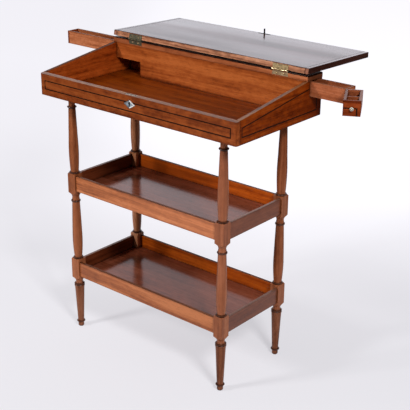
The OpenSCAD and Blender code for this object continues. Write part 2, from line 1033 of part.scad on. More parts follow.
// Round end of a wall at the pivot, over the listed thirds of its height
module wooden_knuckles(list, reach) {
    for (i = list)
        translate([0, 0, knuckle_z(i) + (i > 0 ? knuckle_gap / 2 : 0)]) {
            z = drawer_h / 3 - (i == 1 ? 1 : 0.5) * knuckle_gap;
            translate([pivot_x, pivot_y, 0])
                cylinder(r = wall_t / 2, h = z);
            translate([reach < 0 ? pivot_x + reach : pivot_x, drawer_y0, 0])
                cube([abs(reach), wall_t, z]);
        }
}

module pivot_bore() {
    translate([pivot_x, pivot_y, drawer_z0 - eps])
        cylinder(r = box_pin_r + pin_play, h = drawer_h + 2 * eps);
}

// Room round the pivot in both walls, square in front so that the box can turn through 90 degrees
module pivot_clearance() {
    translate([pivot_x, pivot_y, drawer_z0 - eps]) {
        cylinder(r = pivot_cut_r, h = drawer_h + 2 * eps);
        translate([-pivot_cut_r, -wall_t / 2 - eps, 0])
            cube([2 * pivot_cut_r, wall_t / 2 + eps, drawer_h + 2 * eps]);
    }
}

module right_drawer_front_wall() {
    reach = 2 * wall_t;
    color(pale_mahogany)
        at_origin()
            right_pulled()
                difference() {
                    union() {
                        difference() {
                            long_wall(right_inner_x, pivot_x, drawer_y0);
                            pivot_clearance();
                        }
                        wooden_knuckles([0, 2], -reach);
                    }
                    pivot_bore();
                }
}

module right_drawer_rear_wall() {
    color(pale_mahogany)
        at_origin()
            right_pulled()
                long_wall(right_inner_x, pivot_x - box_gap / 2, drawer_y1 - wall_t);
}

module right_drawer_inner_end() {
    color(pale_mahogany)
        at_origin()
            right_pulled()
                cross_wall(right_inner_x, wall_t);
}

module right_drawer_outer_end() {
    color(pale_mahogany)
        at_origin()
            right_pulled()
                difference() {
                    cross_wall(outer_end_x, wall_t);
                    pivot_clearance();
                }
}

module right_drawer_bottom() {
    color(pale_mahogany)
        at_origin()
            right_pulled()
                drawer_bottom(right_inner_x + wall_t, outer_end_x);
}

// End box

box_in_x = pivot_x + box_gap / 2;

module end_box_front_wall() {
    reach = 2 * wall_t;
    color(pale_mahogany)
        at_origin()
            swivelled()
                difference() {
                    union() {
                        difference() {
                            long_wall(pivot_x, half_w - face_t, drawer_y0);
                            pivot_clearance();
                        }
                        wooden_knuckles([1], reach);
                    }
                    pivot_bore();
                }
}

module end_box_rear_wall() {
    color(pale_mahogany)
        at_origin()
            swivelled()
                long_wall(box_in_x, half_w - face_t, drawer_y1 - wall_t);
}

module end_box_inner_wall() {
    color(pale_mahogany)
        at_origin()
            swivelled()
                difference() {
                    cross_wall(box_in_x, wall_t);
                    pivot_clearance();
                }
}

module end_box_cross_wall() {
    z = drawer_z0 + drawer_bottom_z + drawer_bottom_t;
    color(pale_mahogany)
        at_origin()
            swivelled()
                block([box_in_x + cell_l, drawer_y0 + wall_t, z],
                    [box_in_x + cell_l + cell_wall_t, drawer_y1 - wall_t, drawer_z1 - cell_wall_drop]);
}

module end_box_bottom() {
    color(pale_mahogany)
        at_origin()
            swivelled()
                drawer_bottom(box_in_x + wall_t, half_w - face_t);
}

module end_box_face() {
    color(mahogany)
        at_origin()
            swivelled()
                face_plate();
}

module end_box_string() {
    color(string_colour)
        at_origin()
            swivelled()
                face_string();
}

module end_box_knob() {
    color(bone)
        at_origin()
            swivelled()
                translate([half_w, knob_y, knob_z])
                    knob();
}

module end_box_pin() {
    color(brass)
        at_origin()
            right_pulled()
                translate([pivot_x, pivot_y, drawer_z0])
                    cylinder(r = box_pin_r, h = drawer_h);
}

// Legs

// Points of a turned bead between z0 and z1, from its root radius out to its crown
function bead(z0, z1, root, crown) =
    [for (a = [0:30:180]) [root + (crown - root) * sin(a), (z0 + z1) / 2 - (z1 - z0) / 2 * cos(a)]];

// Points of a swelling shaft, widest at the height zm, with a straighter taper above it
function shaft(z0, z1, zm, r0, r1, rm) = concat(
    [for (i = [0:5]) [rm - (rm - r0) * pow(1 - i / 6, 2), z0 + (zm - z0) * i / 6]],
    [for (i = [0:8]) [rm - (rm - r1) * pow(i / 8, swell_power), zm + (z1 - zm) * i / 8]]);

// Points of the cove that turns a square block into its neck
function cove(z0, z1, r0, r1) =
    [for (a = [0:15:90]) [r0 + (r1 - r0) * (1 - cos(a)), z0 + (z1 - z0) * sin(a)]];

module turned(points) {
    rotate_extrude()
        polygon(concat([[0, points[0][1]]], points, [[0, points[len(points) - 1][1]]]));
}

// Square block with its cove below and its upper corners eased
module leg_block(z, top) {
    intersection() {
        translate([-block_h2, -block_h2, z - cove_h])
            cube([block_w, block_w, top - z + cove_h]);
        turned(concat(cove(z - cove_h, z, neck_r, corner_reach + eps),
            [[corner_reach + eps, top - block_ease], [corner_reach - block_ease, top]]));
    }
}

// Lower leg, from the foot to the neck under the lower block
function lower_turning() =
    let (ring_z = low_cove_z - low_neck_h - 2 * ring_h)
    concat([for (a = [-90:15:0]) [foot_r - foot_round * (1 - cos(a)), foot_round_h * (1 + sin(a))]],
        [[foot_r, foot_ring_z - ring_h / 2]],
        bead(foot_ring_z - ring_h / 2, foot_ring_z + ring_h / 2, taper_foot_r, foot_ring_r),
        [[taper_top_r, ring_z - low_neck_h]],
        bead(ring_z, ring_z + ring_h, taper_top_r - neck_step, low_ring_r),
        bead(ring_z + ring_h, ring_z + 2 * ring_h, neck_r, low_ring_r),
        [[neck_r, low_cove_z]]);

function middle_turning() =
    let (z0 = low_block_top + ring_h, z1 = high_cove_z - mid_neck_h)
    concat(bead(low_block_top, z0, neck_r, shaft_r),
        shaft(z0, z1 - ring_h, low_block_top + lower_swell, neck_r, neck_r, shaft_r),
        bead(z1 - ring_h, z1, neck_r, mid_ring_r),
        [[neck_r - neck_step, z1 + neck_step], [neck_r, high_cove_z]]);

function upper_turning() =
    let (z0 = high_block_top + ring_h, z1 = top_ring_z - ring_h / 2)
    concat(bead(high_block_top, z0, neck_r, shaft_r),
        shaft(z0, z1, high_block_top + upper_swell, neck_r, top_r, shaft_r),
        bead(z1, z1 + ring_h, top_r - neck_step, top_ring_r),
        [[top_r - neck_step, case_z - ring_h], [top_r + neck_step, case_z], [tenon_r, case_z],
            [tenon_r, case_z + tenon_l]]);

// Mortises for the rails of one tray, in a leg whose outer corner is at -X and -Y
module rail_mortises(z) {
    mortise_z = z + rail_shoulder - fit_play;
    mortise_h = rail_h - 2 * rail_shoulder + 2 * fit_play;
    mid = -block_h2 + rail_recess + rail_t / 2;
    for (turn = [0, 1])
        mirror([turn, -turn, 0])
            translate([block_h2 - rail_tenon_l - fit_play, mid - rail_tenon_t / 2 - fit_play, mortise_z])
                cube([rail_tenon_l + fit_play + eps, rail_tenon_t + 2 * fit_play, mortise_h]);
}

// A leg at one corner: sx and sy are the signs of its outer corner
module leg(sx, sy) {
    color(mahogany)
        at_origin()
            translate([sx * leg_x, sy < 0 ? leg_front_y : leg_back_y, 0])
                mirror([sx > 0 ? 1 : 0, 0, 0])
                    mirror([0, sy > 0 ? 1 : 0, 0])
                        difference() {
                            union() {
                                turned(lower_turning());
                                leg_block(low_block_z, low_block_top);
                                turned(middle_turning());
                                leg_block(high_block_z, high_block_top);
                                turned(upper_turning());
                            }
                            rail_mortises(low_tray_z);
                            rail_mortises(high_tray_z);
                        }
}

module leg_front_left() {
    leg(-1, -1);
}

module leg_front_right() {
    leg(1, -1);
}

module leg_back_left() {
    leg(-1, 1);
}

module leg_back_right() {
    leg(1, 1);
}

// Trays

rail_out_x = leg_x + block_h2 - rail_recess;
rail_front_y = leg_front_y - block_h2 + rail_recess;
rail_back_y = leg_back_y + block_h2 - rail_recess;

// A rail along X between two legs, its outer face at y, with a tenon at each end
module long_rail(y, z) {
    end = leg_x - block_h2;
    tenon_y = y + (rail_t - rail_tenon_t) / 2;
    block([-end, y, z], [end, y + rail_t, z + rail_h]);
    block([-end - rail_tenon_l, tenon_y, z + rail_shoulder],
        [end + rail_tenon_l, tenon_y + rail_tenon_t, z + rail_h - rail_shoulder]);
}

// A rail along Y between two legs, its left face at x, with a tenon at each end
module short_rail(x, z) {
    tenon_x = x + (rail_t - rail_tenon_t) / 2;
    y0 = leg_front_y + block_h2;
    y1 = leg_back_y - block_h2;
    block([x, y0, z], [x + rail_t, y1, z + rail_h]);
    block([tenon_x, y0 - rail_tenon_l, z + rail_shoulder],
        [tenon_x + rail_tenon_t, y1 + rail_tenon_l, z + rail_h - rail_shoulder]);
}

module long_rails(z) {
    color(mahogany)
        at_origin() {
            long_rail(rail_front_y, z);
            long_rail(rail_back_y - rail_t, z);
        }
}

module short_rails(z) {
    color(mahogany)
        at_origin() {
            short_rail(-rail_out_x, z);
            short_rail(rail_out_x - rail_t, z);
        }
}

// Board between the rails, notched round the legs' blocks
module tray_board(z) {
    play = fit_play;
    color(mahogany)
        at_origin()
            difference() {
                block([-rail_out_x + rail_t, rail_front_y + rail_t, z],
                    [rail_out_x - rail_t, rail_back_y - rail_t, z + tray_t]);
                for (x = [-leg_x, leg_x])
                    for (y = [leg_front_y, leg_back_y])
                        block([x - block_h2 - play, y - block_h2 - play, z - eps],
                            [x + block_h2 + play, y + block_h2 + play, z + tray_t + eps]);
            }
}

module lower_tray_board() {
    tray_board(low_tray_z);
}

module lower_rails_long() {
    long_rails(low_tray_z);
}

module lower_rails_short() {
    short_rails(low_tray_z);
}

module upper_tray_board() {
    tray_board(high_tray_z);
}

module upper_rails_long() {
    long_rails(high_tray_z);
}

module upper_rails_short() {
    short_rails(high_tray_z);
}

front_panel();
left_side();
right_side();
bottom_board();
partition();
back_panel();
fixed_top();
runner_board();
drawer_stop();
pigeonhole_end();
front_string();
left_string();
right_string();
lozenge_rim_plate();
lozenge_plate();
lock_case();
lock_bolt();
link_plate();
lid_panel();
lid_clamp_left();
lid_clamp_right();
hinge_leaf_fixed();
hinge_leaf_lid();
hinge_pin();
hinge_screw_fixed();
hinge_screw_lid();
left_drawer_face();
left_drawer_front_wall();
left_drawer_rear_wall();
left_drawer_end();
left_drawer_bottom();
left_drawer_string();
left_drawer_knob();
right_drawer_front_wall();
right_drawer_rear_wall();
right_drawer_inner_end();
right_drawer_outer_end();
right_drawer_bottom();
end_box_front_wall();
end_box_rear_wall();
end_box_inner_wall();
end_box_cross_wall();
end_box_face();
end_box_bottom();
end_box_string();
end_box_knob();
end_box_pin();
leg_front_left();
leg_front_right();
leg_back_left();
leg_back_right();
lower_tray_board();
lower_rails_long();
lower_rails_short();
upper_tray_board();
upper_rails_long();
upper_rails_short();
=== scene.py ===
"""Slant-front writing table on four turned legs, dressed for its photograph.

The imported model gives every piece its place. Each wooden piece is a merged copy of its solid with eased
edges and a mahogany of its own, whose grain runs along the board. Metal, bone and small fittings are
finished or modelled here.
"""

from __future__ import annotations

import logging
import math
from contextlib import contextmanager
from dataclasses import dataclass, field
from enum import Enum
from typing import Callable, Iterator, Sequence

import bmesh
import bpy
from mathutils import Euler, Matrix, Vector


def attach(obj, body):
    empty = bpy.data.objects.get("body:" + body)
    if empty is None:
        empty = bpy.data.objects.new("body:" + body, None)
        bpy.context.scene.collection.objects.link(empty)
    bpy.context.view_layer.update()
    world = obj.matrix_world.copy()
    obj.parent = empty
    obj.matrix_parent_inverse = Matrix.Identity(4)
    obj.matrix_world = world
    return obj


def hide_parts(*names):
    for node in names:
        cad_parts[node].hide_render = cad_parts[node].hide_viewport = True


LOG = logging.getLogger("writing_table")
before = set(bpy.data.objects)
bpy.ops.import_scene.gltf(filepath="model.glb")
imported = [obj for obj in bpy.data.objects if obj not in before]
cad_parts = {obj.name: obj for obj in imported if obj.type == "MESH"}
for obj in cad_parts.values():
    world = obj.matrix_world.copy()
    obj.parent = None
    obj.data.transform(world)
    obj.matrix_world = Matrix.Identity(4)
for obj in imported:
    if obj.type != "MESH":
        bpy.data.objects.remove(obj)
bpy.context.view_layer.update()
MM = 0.001
HAIR = 0.01 * MM
FACING = 0.9
SQUARE_ON = 0.99
Piece = bpy.types.Object
Material = bpy.types.Material
Mesh = bmesh.types.BMesh
Face = bmesh.types.BMFace
Edge = bmesh.types.BMEdge
Colour = tuple[float, float, float]
Triple = tuple[float, float, float]
Span = tuple[float, float]
Levels = tuple[Span, ...]
Inputs = dict[str | int, object]


# Selecting and shaping


def only(piece: Piece) -> None:
    """Selects one object alone and makes it the active one.

    Args:
        piece: The object.
    """
    bpy.ops.object.select_all(action="DESELECT")
    piece.select_set(True)
    bpy.context.view_layer.objects.active = piece


def linked(name: str, data: bpy.types.ID) -> Piece:
    """Puts a mesh, a lens or a light into the scene as an object.

    Args:
        name: The object's name.
        data: The mesh, lens or light.

    Returns:
        The object.
    """
    made = bpy.data.objects.new(name, data)
    bpy.context.scene.collection.objects.link(made)
    return made


@contextmanager
def edited(piece: Piece) -> Iterator[Mesh]:
    """Opens a piece in edit mode and closes it again.

    Args:
        piece: The object to edit.

    Yields:
        The edit mesh, to read and to select in.
    """
    only(piece)
    bpy.ops.object.mode_set(mode="EDIT")
    mesh = bmesh.from_edit_mesh(piece.data)
    yield mesh
    bpy.ops.object.mode_set(mode="OBJECT")


def choose(mesh: Mesh, elements: str, wanted: Callable[[object], bool]) -> int:
    """Selects the vertices, edges or faces that a test accepts, and nothing else.

    Args:
        mesh: The edit mesh.
        elements: One of verts, edges or faces.
        wanted: Says whether an element is selected.

    Returns:
        The number of selected elements.
    """
    bpy.ops.mesh.select_mode(type={"verts": "VERT", "edges": "EDGE", "faces": "FACE"}[elements])
    for sequence in (mesh.verts, mesh.edges, mesh.faces):
        for element in sequence:
            element.select = False
    chosen = [element for element in getattr(mesh, elements) if wanted(element)]
    for element in chosen:
        element.select_set(True)
    return len(chosen)


def smooth(piece: Piece, angle: float = 32.0) -> None:
    """Shades a piece smooth, and keeps its wide faces flat.

    Args:
        piece: The object to shade.
        angle: The angle in degrees below which faces that meet are shaded as one.
    """
    only(piece)
    bpy.ops.object.shade_smooth_by_angle(angle=math.radians(angle))
    bpy.ops.object.modifier_add(type="WEIGHTED_NORMAL")
    piece.modifiers[-1].keep_sharp = True
    bpy.ops.object.modifier_apply(modifier=piece.modifiers[-1].name)


def primitive(add: Callable[..., set[str]], name: str, **shape: object) -> Piece:
    """Adds one of Blender's primitives.

    Args:
        add: The operator that adds it.
        name: The new piece's name.
        shape: What the operator is told about its size, place and turn.

    Returns:
        The new piece, with its place, turn and size in its mesh.
    """
    bpy.ops.object.select_all(action="DESELECT")
    add(**shape)
    piece = bpy.context.object
    piece.name = name
    only(piece)
    bpy.ops.object.transform_apply(location=True, rotation=True, scale=True)
    return piece


def is_groove_wall(face: Face, depth: float) -> bool:
    """Tells whether a face is the narrow wall of an inlay's groove.

    Args:
        face: The face to test.
        depth: The widest that a groove's wall can be, in metres.

    Returns:
        True for a wall that is narrower than the depth and meets another face in an inner corner.
    """
    longest = max(edge.calc_length() for edge in face.edges)
    if face.calc_area() / longest > depth:
        return False
    return any(not edge.is_convex and is_corner(edge) for edge in face.edges)


def is_corner(edge: Edge) -> bool:
    """Tells whether the faces of an edge meet at a plain corner, and not in a faceted curve."""
    return edge.calc_face_angle(0.0) > math.radians(35)


def is_board_end(face: Face) -> bool:
    """Tells whether a face is at the left or right end of a long board."""
    return abs(face.normal.x) > FACING


# Shader nodes


def math_method(operation: str) -> Callable[[Socket, float | Socket], Socket]:
    """Makes a method that puts a socket and another value through a Math node.

    Args:
        operation: The node's operation.

    Returns:
        The method.
    """
    def method(first: Socket, second: float | Socket) -> Socket:
        """Adds the node."""
        return first.finish.math(operation, first, second)
    return method


class Socket:
    """A number or colour on its way through a finish, with arithmetic that adds Math nodes."""

    __add__ = __radd__ = math_method("ADD")
    __mul__ = __rmul__ = math_method("MULTIPLY")
    __sub__ = math_method("SUBTRACT")
    __truediv__ = math_method("DIVIDE")
    low = math_method("MINIMUM")
    high = math_method("MAXIMUM")

    def __init__(self, finish: Shader, output: bpy.types.NodeSocket) -> None:
        """Keeps the finish and the node's output."""
        self.finish = finish
        self.output = output

    def __rsub__(self, other: float) -> Socket:
        """Is subtracted from a number."""
        return self.finish.math("SUBTRACT", other, self)

    def size(self) -> Socket:
        """Takes the value without its sign."""
        return self.finish.math("ABSOLUTE", self)

    def swing(self, amount: float) -> Socket:
        """Turns a value from 0 to 1 into one that swings about 0 by half an amount."""
        return (self - 0.5) * amount

    def step(self, start: float, end: float) -> Socket:
        """Turns a stretch of values into a smooth rise from 0 to 1.

        Args:
            start: The value that becomes 0.
            end: The value that becomes 1.

        Returns:
            The risen value.
        """
        settings = {"interpolation_type": "SMOOTHSTEP"}
        inputs = {"Value": self, "From Min": start, "From Max": end}
        return self.finish.node("MapRange", settings, inputs)


class Shader:
    """Builds the node tree of one material or of the world."""

    def __init__(self, owner: bpy.types.ID) -> None:
        """Empties the owner's node tree.

        Args:
            owner: The material or world.
        """
        owner.use_nodes = True
        self.tree = owner.node_tree
        self.tree.nodes.clear()

    def node(self, kind: str, settings: dict[str, object] | None = None, inputs: Inputs | None = None,
             output: int | str = 0) -> Socket | None:
        """Adds a node.

        Args:
            kind: The node's type, without its leading ShaderNode.
            settings: Its properties; stops gives a ramp's places and colours.
            inputs: Values or sockets by input name or number.
            output: The output that is wanted.

        Returns:
            That output, or None for a tree's end.
        """
        added = self.tree.nodes.new(f"ShaderNode{kind}")
        for key, value in (settings or {}).items():
            if key == "stops":
                self.set_stops(added.color_ramp, value)
            else:
                setattr(added, key, value)
        for key, value in (inputs or {}).items():
            if isinstance(value, Socket):
                self.tree.links.new(value.output, added.inputs[key])
            else:
                added.inputs[key].default_value = value
        return Socket(self, added.outputs[output]) if added.outputs else None

    @staticmethod
    def set_stops(ramp: bpy.types.ColorRamp, stops: Sequence[tuple[float, Colour]]) -> None:
        """Gives a colour ramp its stops.

        Args:
            ramp: The ramp.
            stops: The place and colour of each stop.
        """
        while len(ramp.elements) < len(stops):
            ramp.elements.new(0.5)
        for element, (place, colour) in zip(ramp.elements, stops):
            element.position = place
            element.color = (*colour, 1.0)

    def math(self, operation: str, *values: float | Socket) -> Socket:
        """Adds a Math node on numbers or sockets."""
        return self.node("Math", {"operation": operation}, dict(enumerate(values)))

    def vector(self, operation: str, *values: Socket | Sequence[float], output: int | str = 0) -> Socket:
        """Adds a Vector Math node on vectors."""
        return self.node("VectorMath", {"operation": operation}, dict(enumerate(values)), output)

    def part(self, vector: Socket, axis: int) -> Socket:
        """Takes one number out of a vector, 0 for X."""
        return self.node("SeparateXYZ", None, {"Vector": vector}, axis)

    def turned(self, place: Socket, middle: Sequence[float], turn: Sequence[float]) -> Socket:
        """Reads a place along axes of its own."""
        mapping = {"Vector": place, "Location": middle, "Rotation": turn}
        return self.node("Mapping", {"vector_type": "TEXTURE"}, mapping)

    def noise(self, place: Socket, fineness: Triple, detail: float = 4.0,
              roughness: float = 0.55) -> Socket:
        """Adds noise.

        Args:
            place: The point at which it is read.
            fineness: Its waves per metre along each axis.
            detail: The number of finer layers.
            roughness: The weight of the finer layers.

        Returns:
            The noise, from 0 to 1.
        """
        stretched = self.vector("MULTIPLY", place, fineness)
        inputs = {"Vector": stretched, "Scale": 1.0, "Detail": detail, "Roughness": roughness}
        return self.node("TexNoise", {"noise_dimensions": "3D"}, inputs)

    def blend(self, share: Socket | float, first: Socket | Colour, second: Socket | Colour) -> Socket:
        """Mixes two colours.

        Args:
            share: The share of the second colour.
            first: The first colour.
            second: The second colour.

        Returns:
            The mixed colour.
        """
        def filled(value: Socket | Colour) -> Socket | tuple[float, ...]:
            """Gives a plain colour its fourth number."""
            return value if isinstance(value, Socket) else (*value, 1.0)
        settings = {"data_type": "RGBA", "blend_type": "MIX", "clamp_factor": True}
        inputs = {"Factor": share, 6: filled(first), 7: filled(second)}
        return self.node("Mix", settings, inputs, 2)

    def mixed(self, share: Socket, first: Socket, second: Socket) -> Socket:
        """Mixes two shaders by a share."""
        return self.node("MixShader", None, {0: share, 1: first, 2: second})

    def ray(self, kind: str) -> Socket:
        """Tells rays of one kind from the others."""
        return self.node("LightPath", output=f"Is {kind} Ray")

    def bump(self, height: Socket, strength: float, distance: float) -> Socket:
        """Adds a bump as deep as a distance in metres."""
        return self.node("Bump", None, {"Strength": strength, "Distance": distance, "Height": height})

    def principled(self, inputs: Inputs) -> None:
        """Ends the tree in one Principled surface."""
        surface = self.node("BsdfPrincipled", None, inputs)
        self.node("OutputMaterial", None, {"Surface": surface})


def new_material(name: str) -> tuple[Material, Shader, Socket]:
    """Makes an empty material.

    Args:
        name: Its name.

    Returns:
        The material, the builder of its tree, and the place on the object.
    """
    made = bpy.data.materials.new(name)
    shader = Shader(made)
    return made, shader, shader.node("TexCoord", output="Object")


# Finishes


@dataclass(frozen=True)
class BoardSpace:
    """A board's own place: its middle, half sizes, and the turn that lays its grain along X."""

    middle: Vector
    half: Vector
    turn: Euler

    @classmethod
    def of(cls, piece: Piece, turn: Euler) -> BoardSpace:
        """Measures a piece along turned axes.

        Args:
            piece: The object whose mesh is measured.
            turn: The turn of the board's own axes.

        Returns:
            The board's place and size.
        """
        back = turn.to_matrix().inverted()
        points = [back @ vertex.co for vertex in piece.data.vertices]
        low = Vector(min(point[i] for point in points) for i in range(3))
        high = Vector(max(point[i] for point in points) for i in range(3))
        return cls(turn.to_matrix() @ ((low + high) / 2), (high - low) / 2, turn)


class Grain(Enum):
    """The way that a board's grain runs, as the turn of its own axes."""

    ALONG = (0.0, 0.0, 0.0)
    ACROSS = (0.0, 0.0, math.pi / 2)
    UPRIGHT = (0.0, -math.pi / 2, 0.0)

    def turned(self, angle: float = 0.0) -> Euler:
        """Gives the turn, with an angle about the upright axis added."""
        return Euler((self.value[0], self.value[1], self.value[2] + angle))


@dataclass(frozen=True)
class Figure:
    """The figure, pores, grime and painted light and shade that all the mahogany shares.

    Bend, streak, ribbon and the like are waves per metre along and across the grain. A swing is how far a
    layer moves the tone, a span is where it fades in, and a tint is a share of the wood's own colour.
    """

    shift: Triple = (0.731, 0.377, 0.193)
    bend: Triple = (3.0, 9.0, 9.0)
    drift: Triple = (0.0, 16 * MM, 16 * MM)
    streak: Triple = (3.2, 120.0, 120.0)
    ribbon: Triple = (1.7, 34.0, 34.0)
    cloud: Triple = (5.0, 11.0, 11.0)
    cloud_swing: float = 0.7
    fine: Triple = (14.0, 640.0, 640.0)
    fine_swing: float = 0.45
    blotch: Triple = (50.0, 85.0, 85.0)
    dark_stop: float = 0.12
    dark_tint: Colour = (0.45, 0.36, 0.30)
    light_stop: float = 0.86
    light_tint: Colour = (1.40, 1.65, 2.0)
    pores: Triple = (60.0, 1500.0, 1500.0)
    pore_span: Span = (0.60, 0.72)
    pore_share: float = 0.5
    pore_tint: Colour = (0.12, 0.09, 0.08)
    # Tints of the painted light and shade towards a board's ends.
    painted_light_tint: Colour = (1.4, 1.6, 2.2)
    painted_shade_tint: Colour = (0.5, 0.4, 0.3)
    rag: Triple = (70.0, 70.0, 70.0)
    seam_rag: float = 3 * MM
    seam_width: float = 5 * MM
    seam_tint: Colour = (0.15, 0.11, 0.09)
    # Ambient occlusion, for the shade painted into corners where boards meet.
    nook_shade_depth: float = 9 * MM
    nook_shade_rag: float = 0.2
    nook_shade_span: Span = (0.30, 0.85)
    nook_shade_share: float = 0.85
    nook_shade_tint: Colour = (0.10, 0.07, 0.06)
    # The crown: a painted shadow along a board's top, where the lid above shades it.
    crown_shadow_rag: float = 1.5 * MM
    crown_shadow_blur: float = 0.5 * MM
    crown_shadow_tint: Colour = (0.05, 0.04, 0.04)
    wiped: Triple = (1.1, 10.0, 10.0)
    wiped_span: Span = (0.30, 0.70)
    coat_roughness: float = 0.15
    fine_gloss: float = 0.25
    cloud_gloss: float = 0.12
    fine_relief: float = 0.5
    relief: float = 0.25
    relief_depth: float = 0.15 * MM


FIGURE = Figure()


@dataclass(frozen=True)
class Mahogany:
    """Mahogany in one tone and polish.

    The crown is how far down from its top a board carries a painted shadow. The ends paint light (above 0)
    or shade (below 0) into the tone towards the grain's two ends, over a share of the board's length that
    end_reach gives.
    """

    name: str
    wood: str
    body: Colour
    roughness: float = 0.34
    specular: float = 0.3
    streak: float = 1.4
    ribbon: float = 1.0
    mottle: float = 0.5
    relief: float = 1.0
    grime: float = 0.25
    crown: float = 0.0
    ends: Span = (0.0, 0.0)
    end_reach: float = 1.0
    cloudy_coat: float = 0.0

    @property
    def slot(self) -> str:
        """Names the record's slot."""
        return f"{self.wood}_wood"

    def tone(self, tint: Colour) -> Colour:
        """Tints the body colour."""
        return self.body[0] * tint[0], self.body[1] * tint[1], self.body[2] * tint[2]

    def material(self, space: BoardSpace, seed: float) -> Material:
        """Makes the mahogany of one board, with a figure that the seed moves."""
        return BoardTree(self, space, seed).build()


class BoardTree:
    """The node tree of one board's mahogany, laid layer over layer."""

    def __init__(self, wood: Mahogany, space: BoardSpace, seed: float) -> None:
        """Sets out the board's own place, its bent grain, and the layers that serve twice.

        Args:
            wood: The board's mahogany.
            space: The board's place and size.
            seed: A number that moves the figure, so that no two boards match.
        """
        self.wood = wood
        self.space = space
        self.made, self.shader, self.place = new_material(f"{wood.name}_mahogany_{seed:g}")
        noise, vector = self.shader.noise, self.shader.vector
        self.board = self.shader.turned(self.place, space.middle, space.turn)
        self.moved = vector("ADD", self.board, tuple(seed * part for part in FIGURE.shift))
        drift = vector("MULTIPLY", noise(self.moved, FIGURE.bend, 2.0), FIGURE.drift)
        self.grain = vector("ADD", self.moved, drift)
        self.fine = noise(self.grain, FIGURE.fine, 3.0, 0.6)
        self.cloud = noise(self.moved, FIGURE.cloud, 2.0)
        self.pores = noise(self.grain, FIGURE.pores, 1.0).step(*FIGURE.pore_span)
        self.rag = noise(self.board, FIGURE.rag, 3.0)
        self.colour = self.figure()

    def build(self) -> Material:
        """Lays the layers over each other.

        Returns:
            The finished material.
        """
        self.cover(self.pores * FIGURE.pore_share, FIGURE.pore_tint)
        self.ends()
        self.seams()
        self.nooks()
        if self.wood.crown:
            self.crown()
        self.polish()
        return self.made

    def cover(self, share: Socket, tint: Colour) -> None:
        """Lays a tint of the wood over the colour so far."""
        self.colour = self.shader.blend(share, self.colour, self.wood.tone(tint))

    def figure(self) -> Socket:
        """Colours the wood by its streaks, ribbons, clouds and blotches.

        Returns:
            The first colour.
        """
        streak = self.shader.noise(self.grain, FIGURE.streak, 5.0, 0.62)
        ribbon = self.shader.noise(self.grain, FIGURE.ribbon, 2.0)
        blotch = self.shader.noise(self.moved, FIGURE.blotch, 3.0, 0.6)
        broad = streak.swing(self.wood.streak) + ribbon.swing(self.wood.ribbon)
        small = self.fine.swing(FIGURE.fine_swing) + blotch.swing(self.wood.mottle)
        stops = [(FIGURE.dark_stop, self.wood.tone(FIGURE.dark_tint)), (0.5, self.wood.body),
                 (FIGURE.light_stop, self.wood.tone(FIGURE.light_tint))]
        tone = broad + self.cloud.swing(FIGURE.cloud_swing) + small + 0.5
        return self.shader.node("ValToRGB", {"stops": stops}, {"Fac": tone})

    def ends(self) -> None:
        """Paints light or shade into the tone towards the ends of the grain."""
        half = self.space.half.x
        inner = half * (1.0 - 2.0 * self.wood.end_reach)
        for change, outer, start in zip(self.wood.ends, (-half, half), (-inner, inner)):
            if change:
                share = self.shader.part(self.board, 0).step(start, outer)
                self.cover(share * abs(change), FIGURE.painted_light_tint if change > 0.0 else FIGURE.painted_shade_tint)

    def seams(self) -> None:
        """Darkens the edges, by the middle one of the distances from the three pairs of faces."""
        size = self.shader.vector("ABSOLUTE", self.board)
        gaps = [self.space.half[i] - self.shader.part(size, i) for i in range(3)]
        edge = gaps[0].low(gaps[1]).high(gaps[0].high(gaps[1]).low(gaps[2]))
        seam = 1.0 - (edge + self.rag.swing(FIGURE.seam_rag)).step(0.0, FIGURE.seam_width)
        self.cover(seam * self.wood.grime, FIGURE.seam_tint)

    def nooks(self) -> None:
        """Paints shade into the corners where boards meet, from ambient occlusion."""
        depth = {"Distance": FIGURE.nook_shade_depth}
        open_air = self.shader.node("AmbientOcclusion", {"samples": 6}, depth, "AO")
        painted_shade = 1.0 - (open_air + self.rag.swing(FIGURE.nook_shade_rag)).step(*FIGURE.nook_shade_span)
        self.cover(painted_shade * FIGURE.nook_shade_share, FIGURE.nook_shade_tint)

    def crown(self) -> None:
        """Paints a shadow on the board from its top down to the crown."""
        line = self.space.middle.z + self.space.half.z - self.wood.crown
        height = self.shader.part(self.place, 2) + self.rag.swing(FIGURE.crown_shadow_rag)
        crown = height.step(line - FIGURE.crown_shadow_blur, line + FIGURE.crown_shadow_blur)
        self.cover(crown, FIGURE.crown_shadow_tint)

    def polish(self) -> None:
        """Ends the tree in the wood's gloss and relief, and in a cloudy coat where it has one."""
        wood = self.wood
        gloss = self.fine.swing(FIGURE.fine_gloss * wood.relief) + wood.roughness
        height = self.fine * FIGURE.fine_relief - self.pores
        bump = self.shader.bump(height, FIGURE.relief * wood.relief, FIGURE.relief_depth)
        finish = {"Base Color": self.colour, "Normal": bump, "Specular IOR Level": wood.specular,
                  "Roughness": gloss + self.cloud.swing(FIGURE.cloud_gloss * wood.relief)}
        if wood.cloudy_coat:
            wiped = self.shader.noise(self.grain, FIGURE.wiped, 2.0).step(*FIGURE.wiped_span)
            finish |= {"Coat Weight": wiped * wood.cloudy_coat, "Coat Roughness": FIGURE.coat_roughness}
        self.shader.principled(finish)


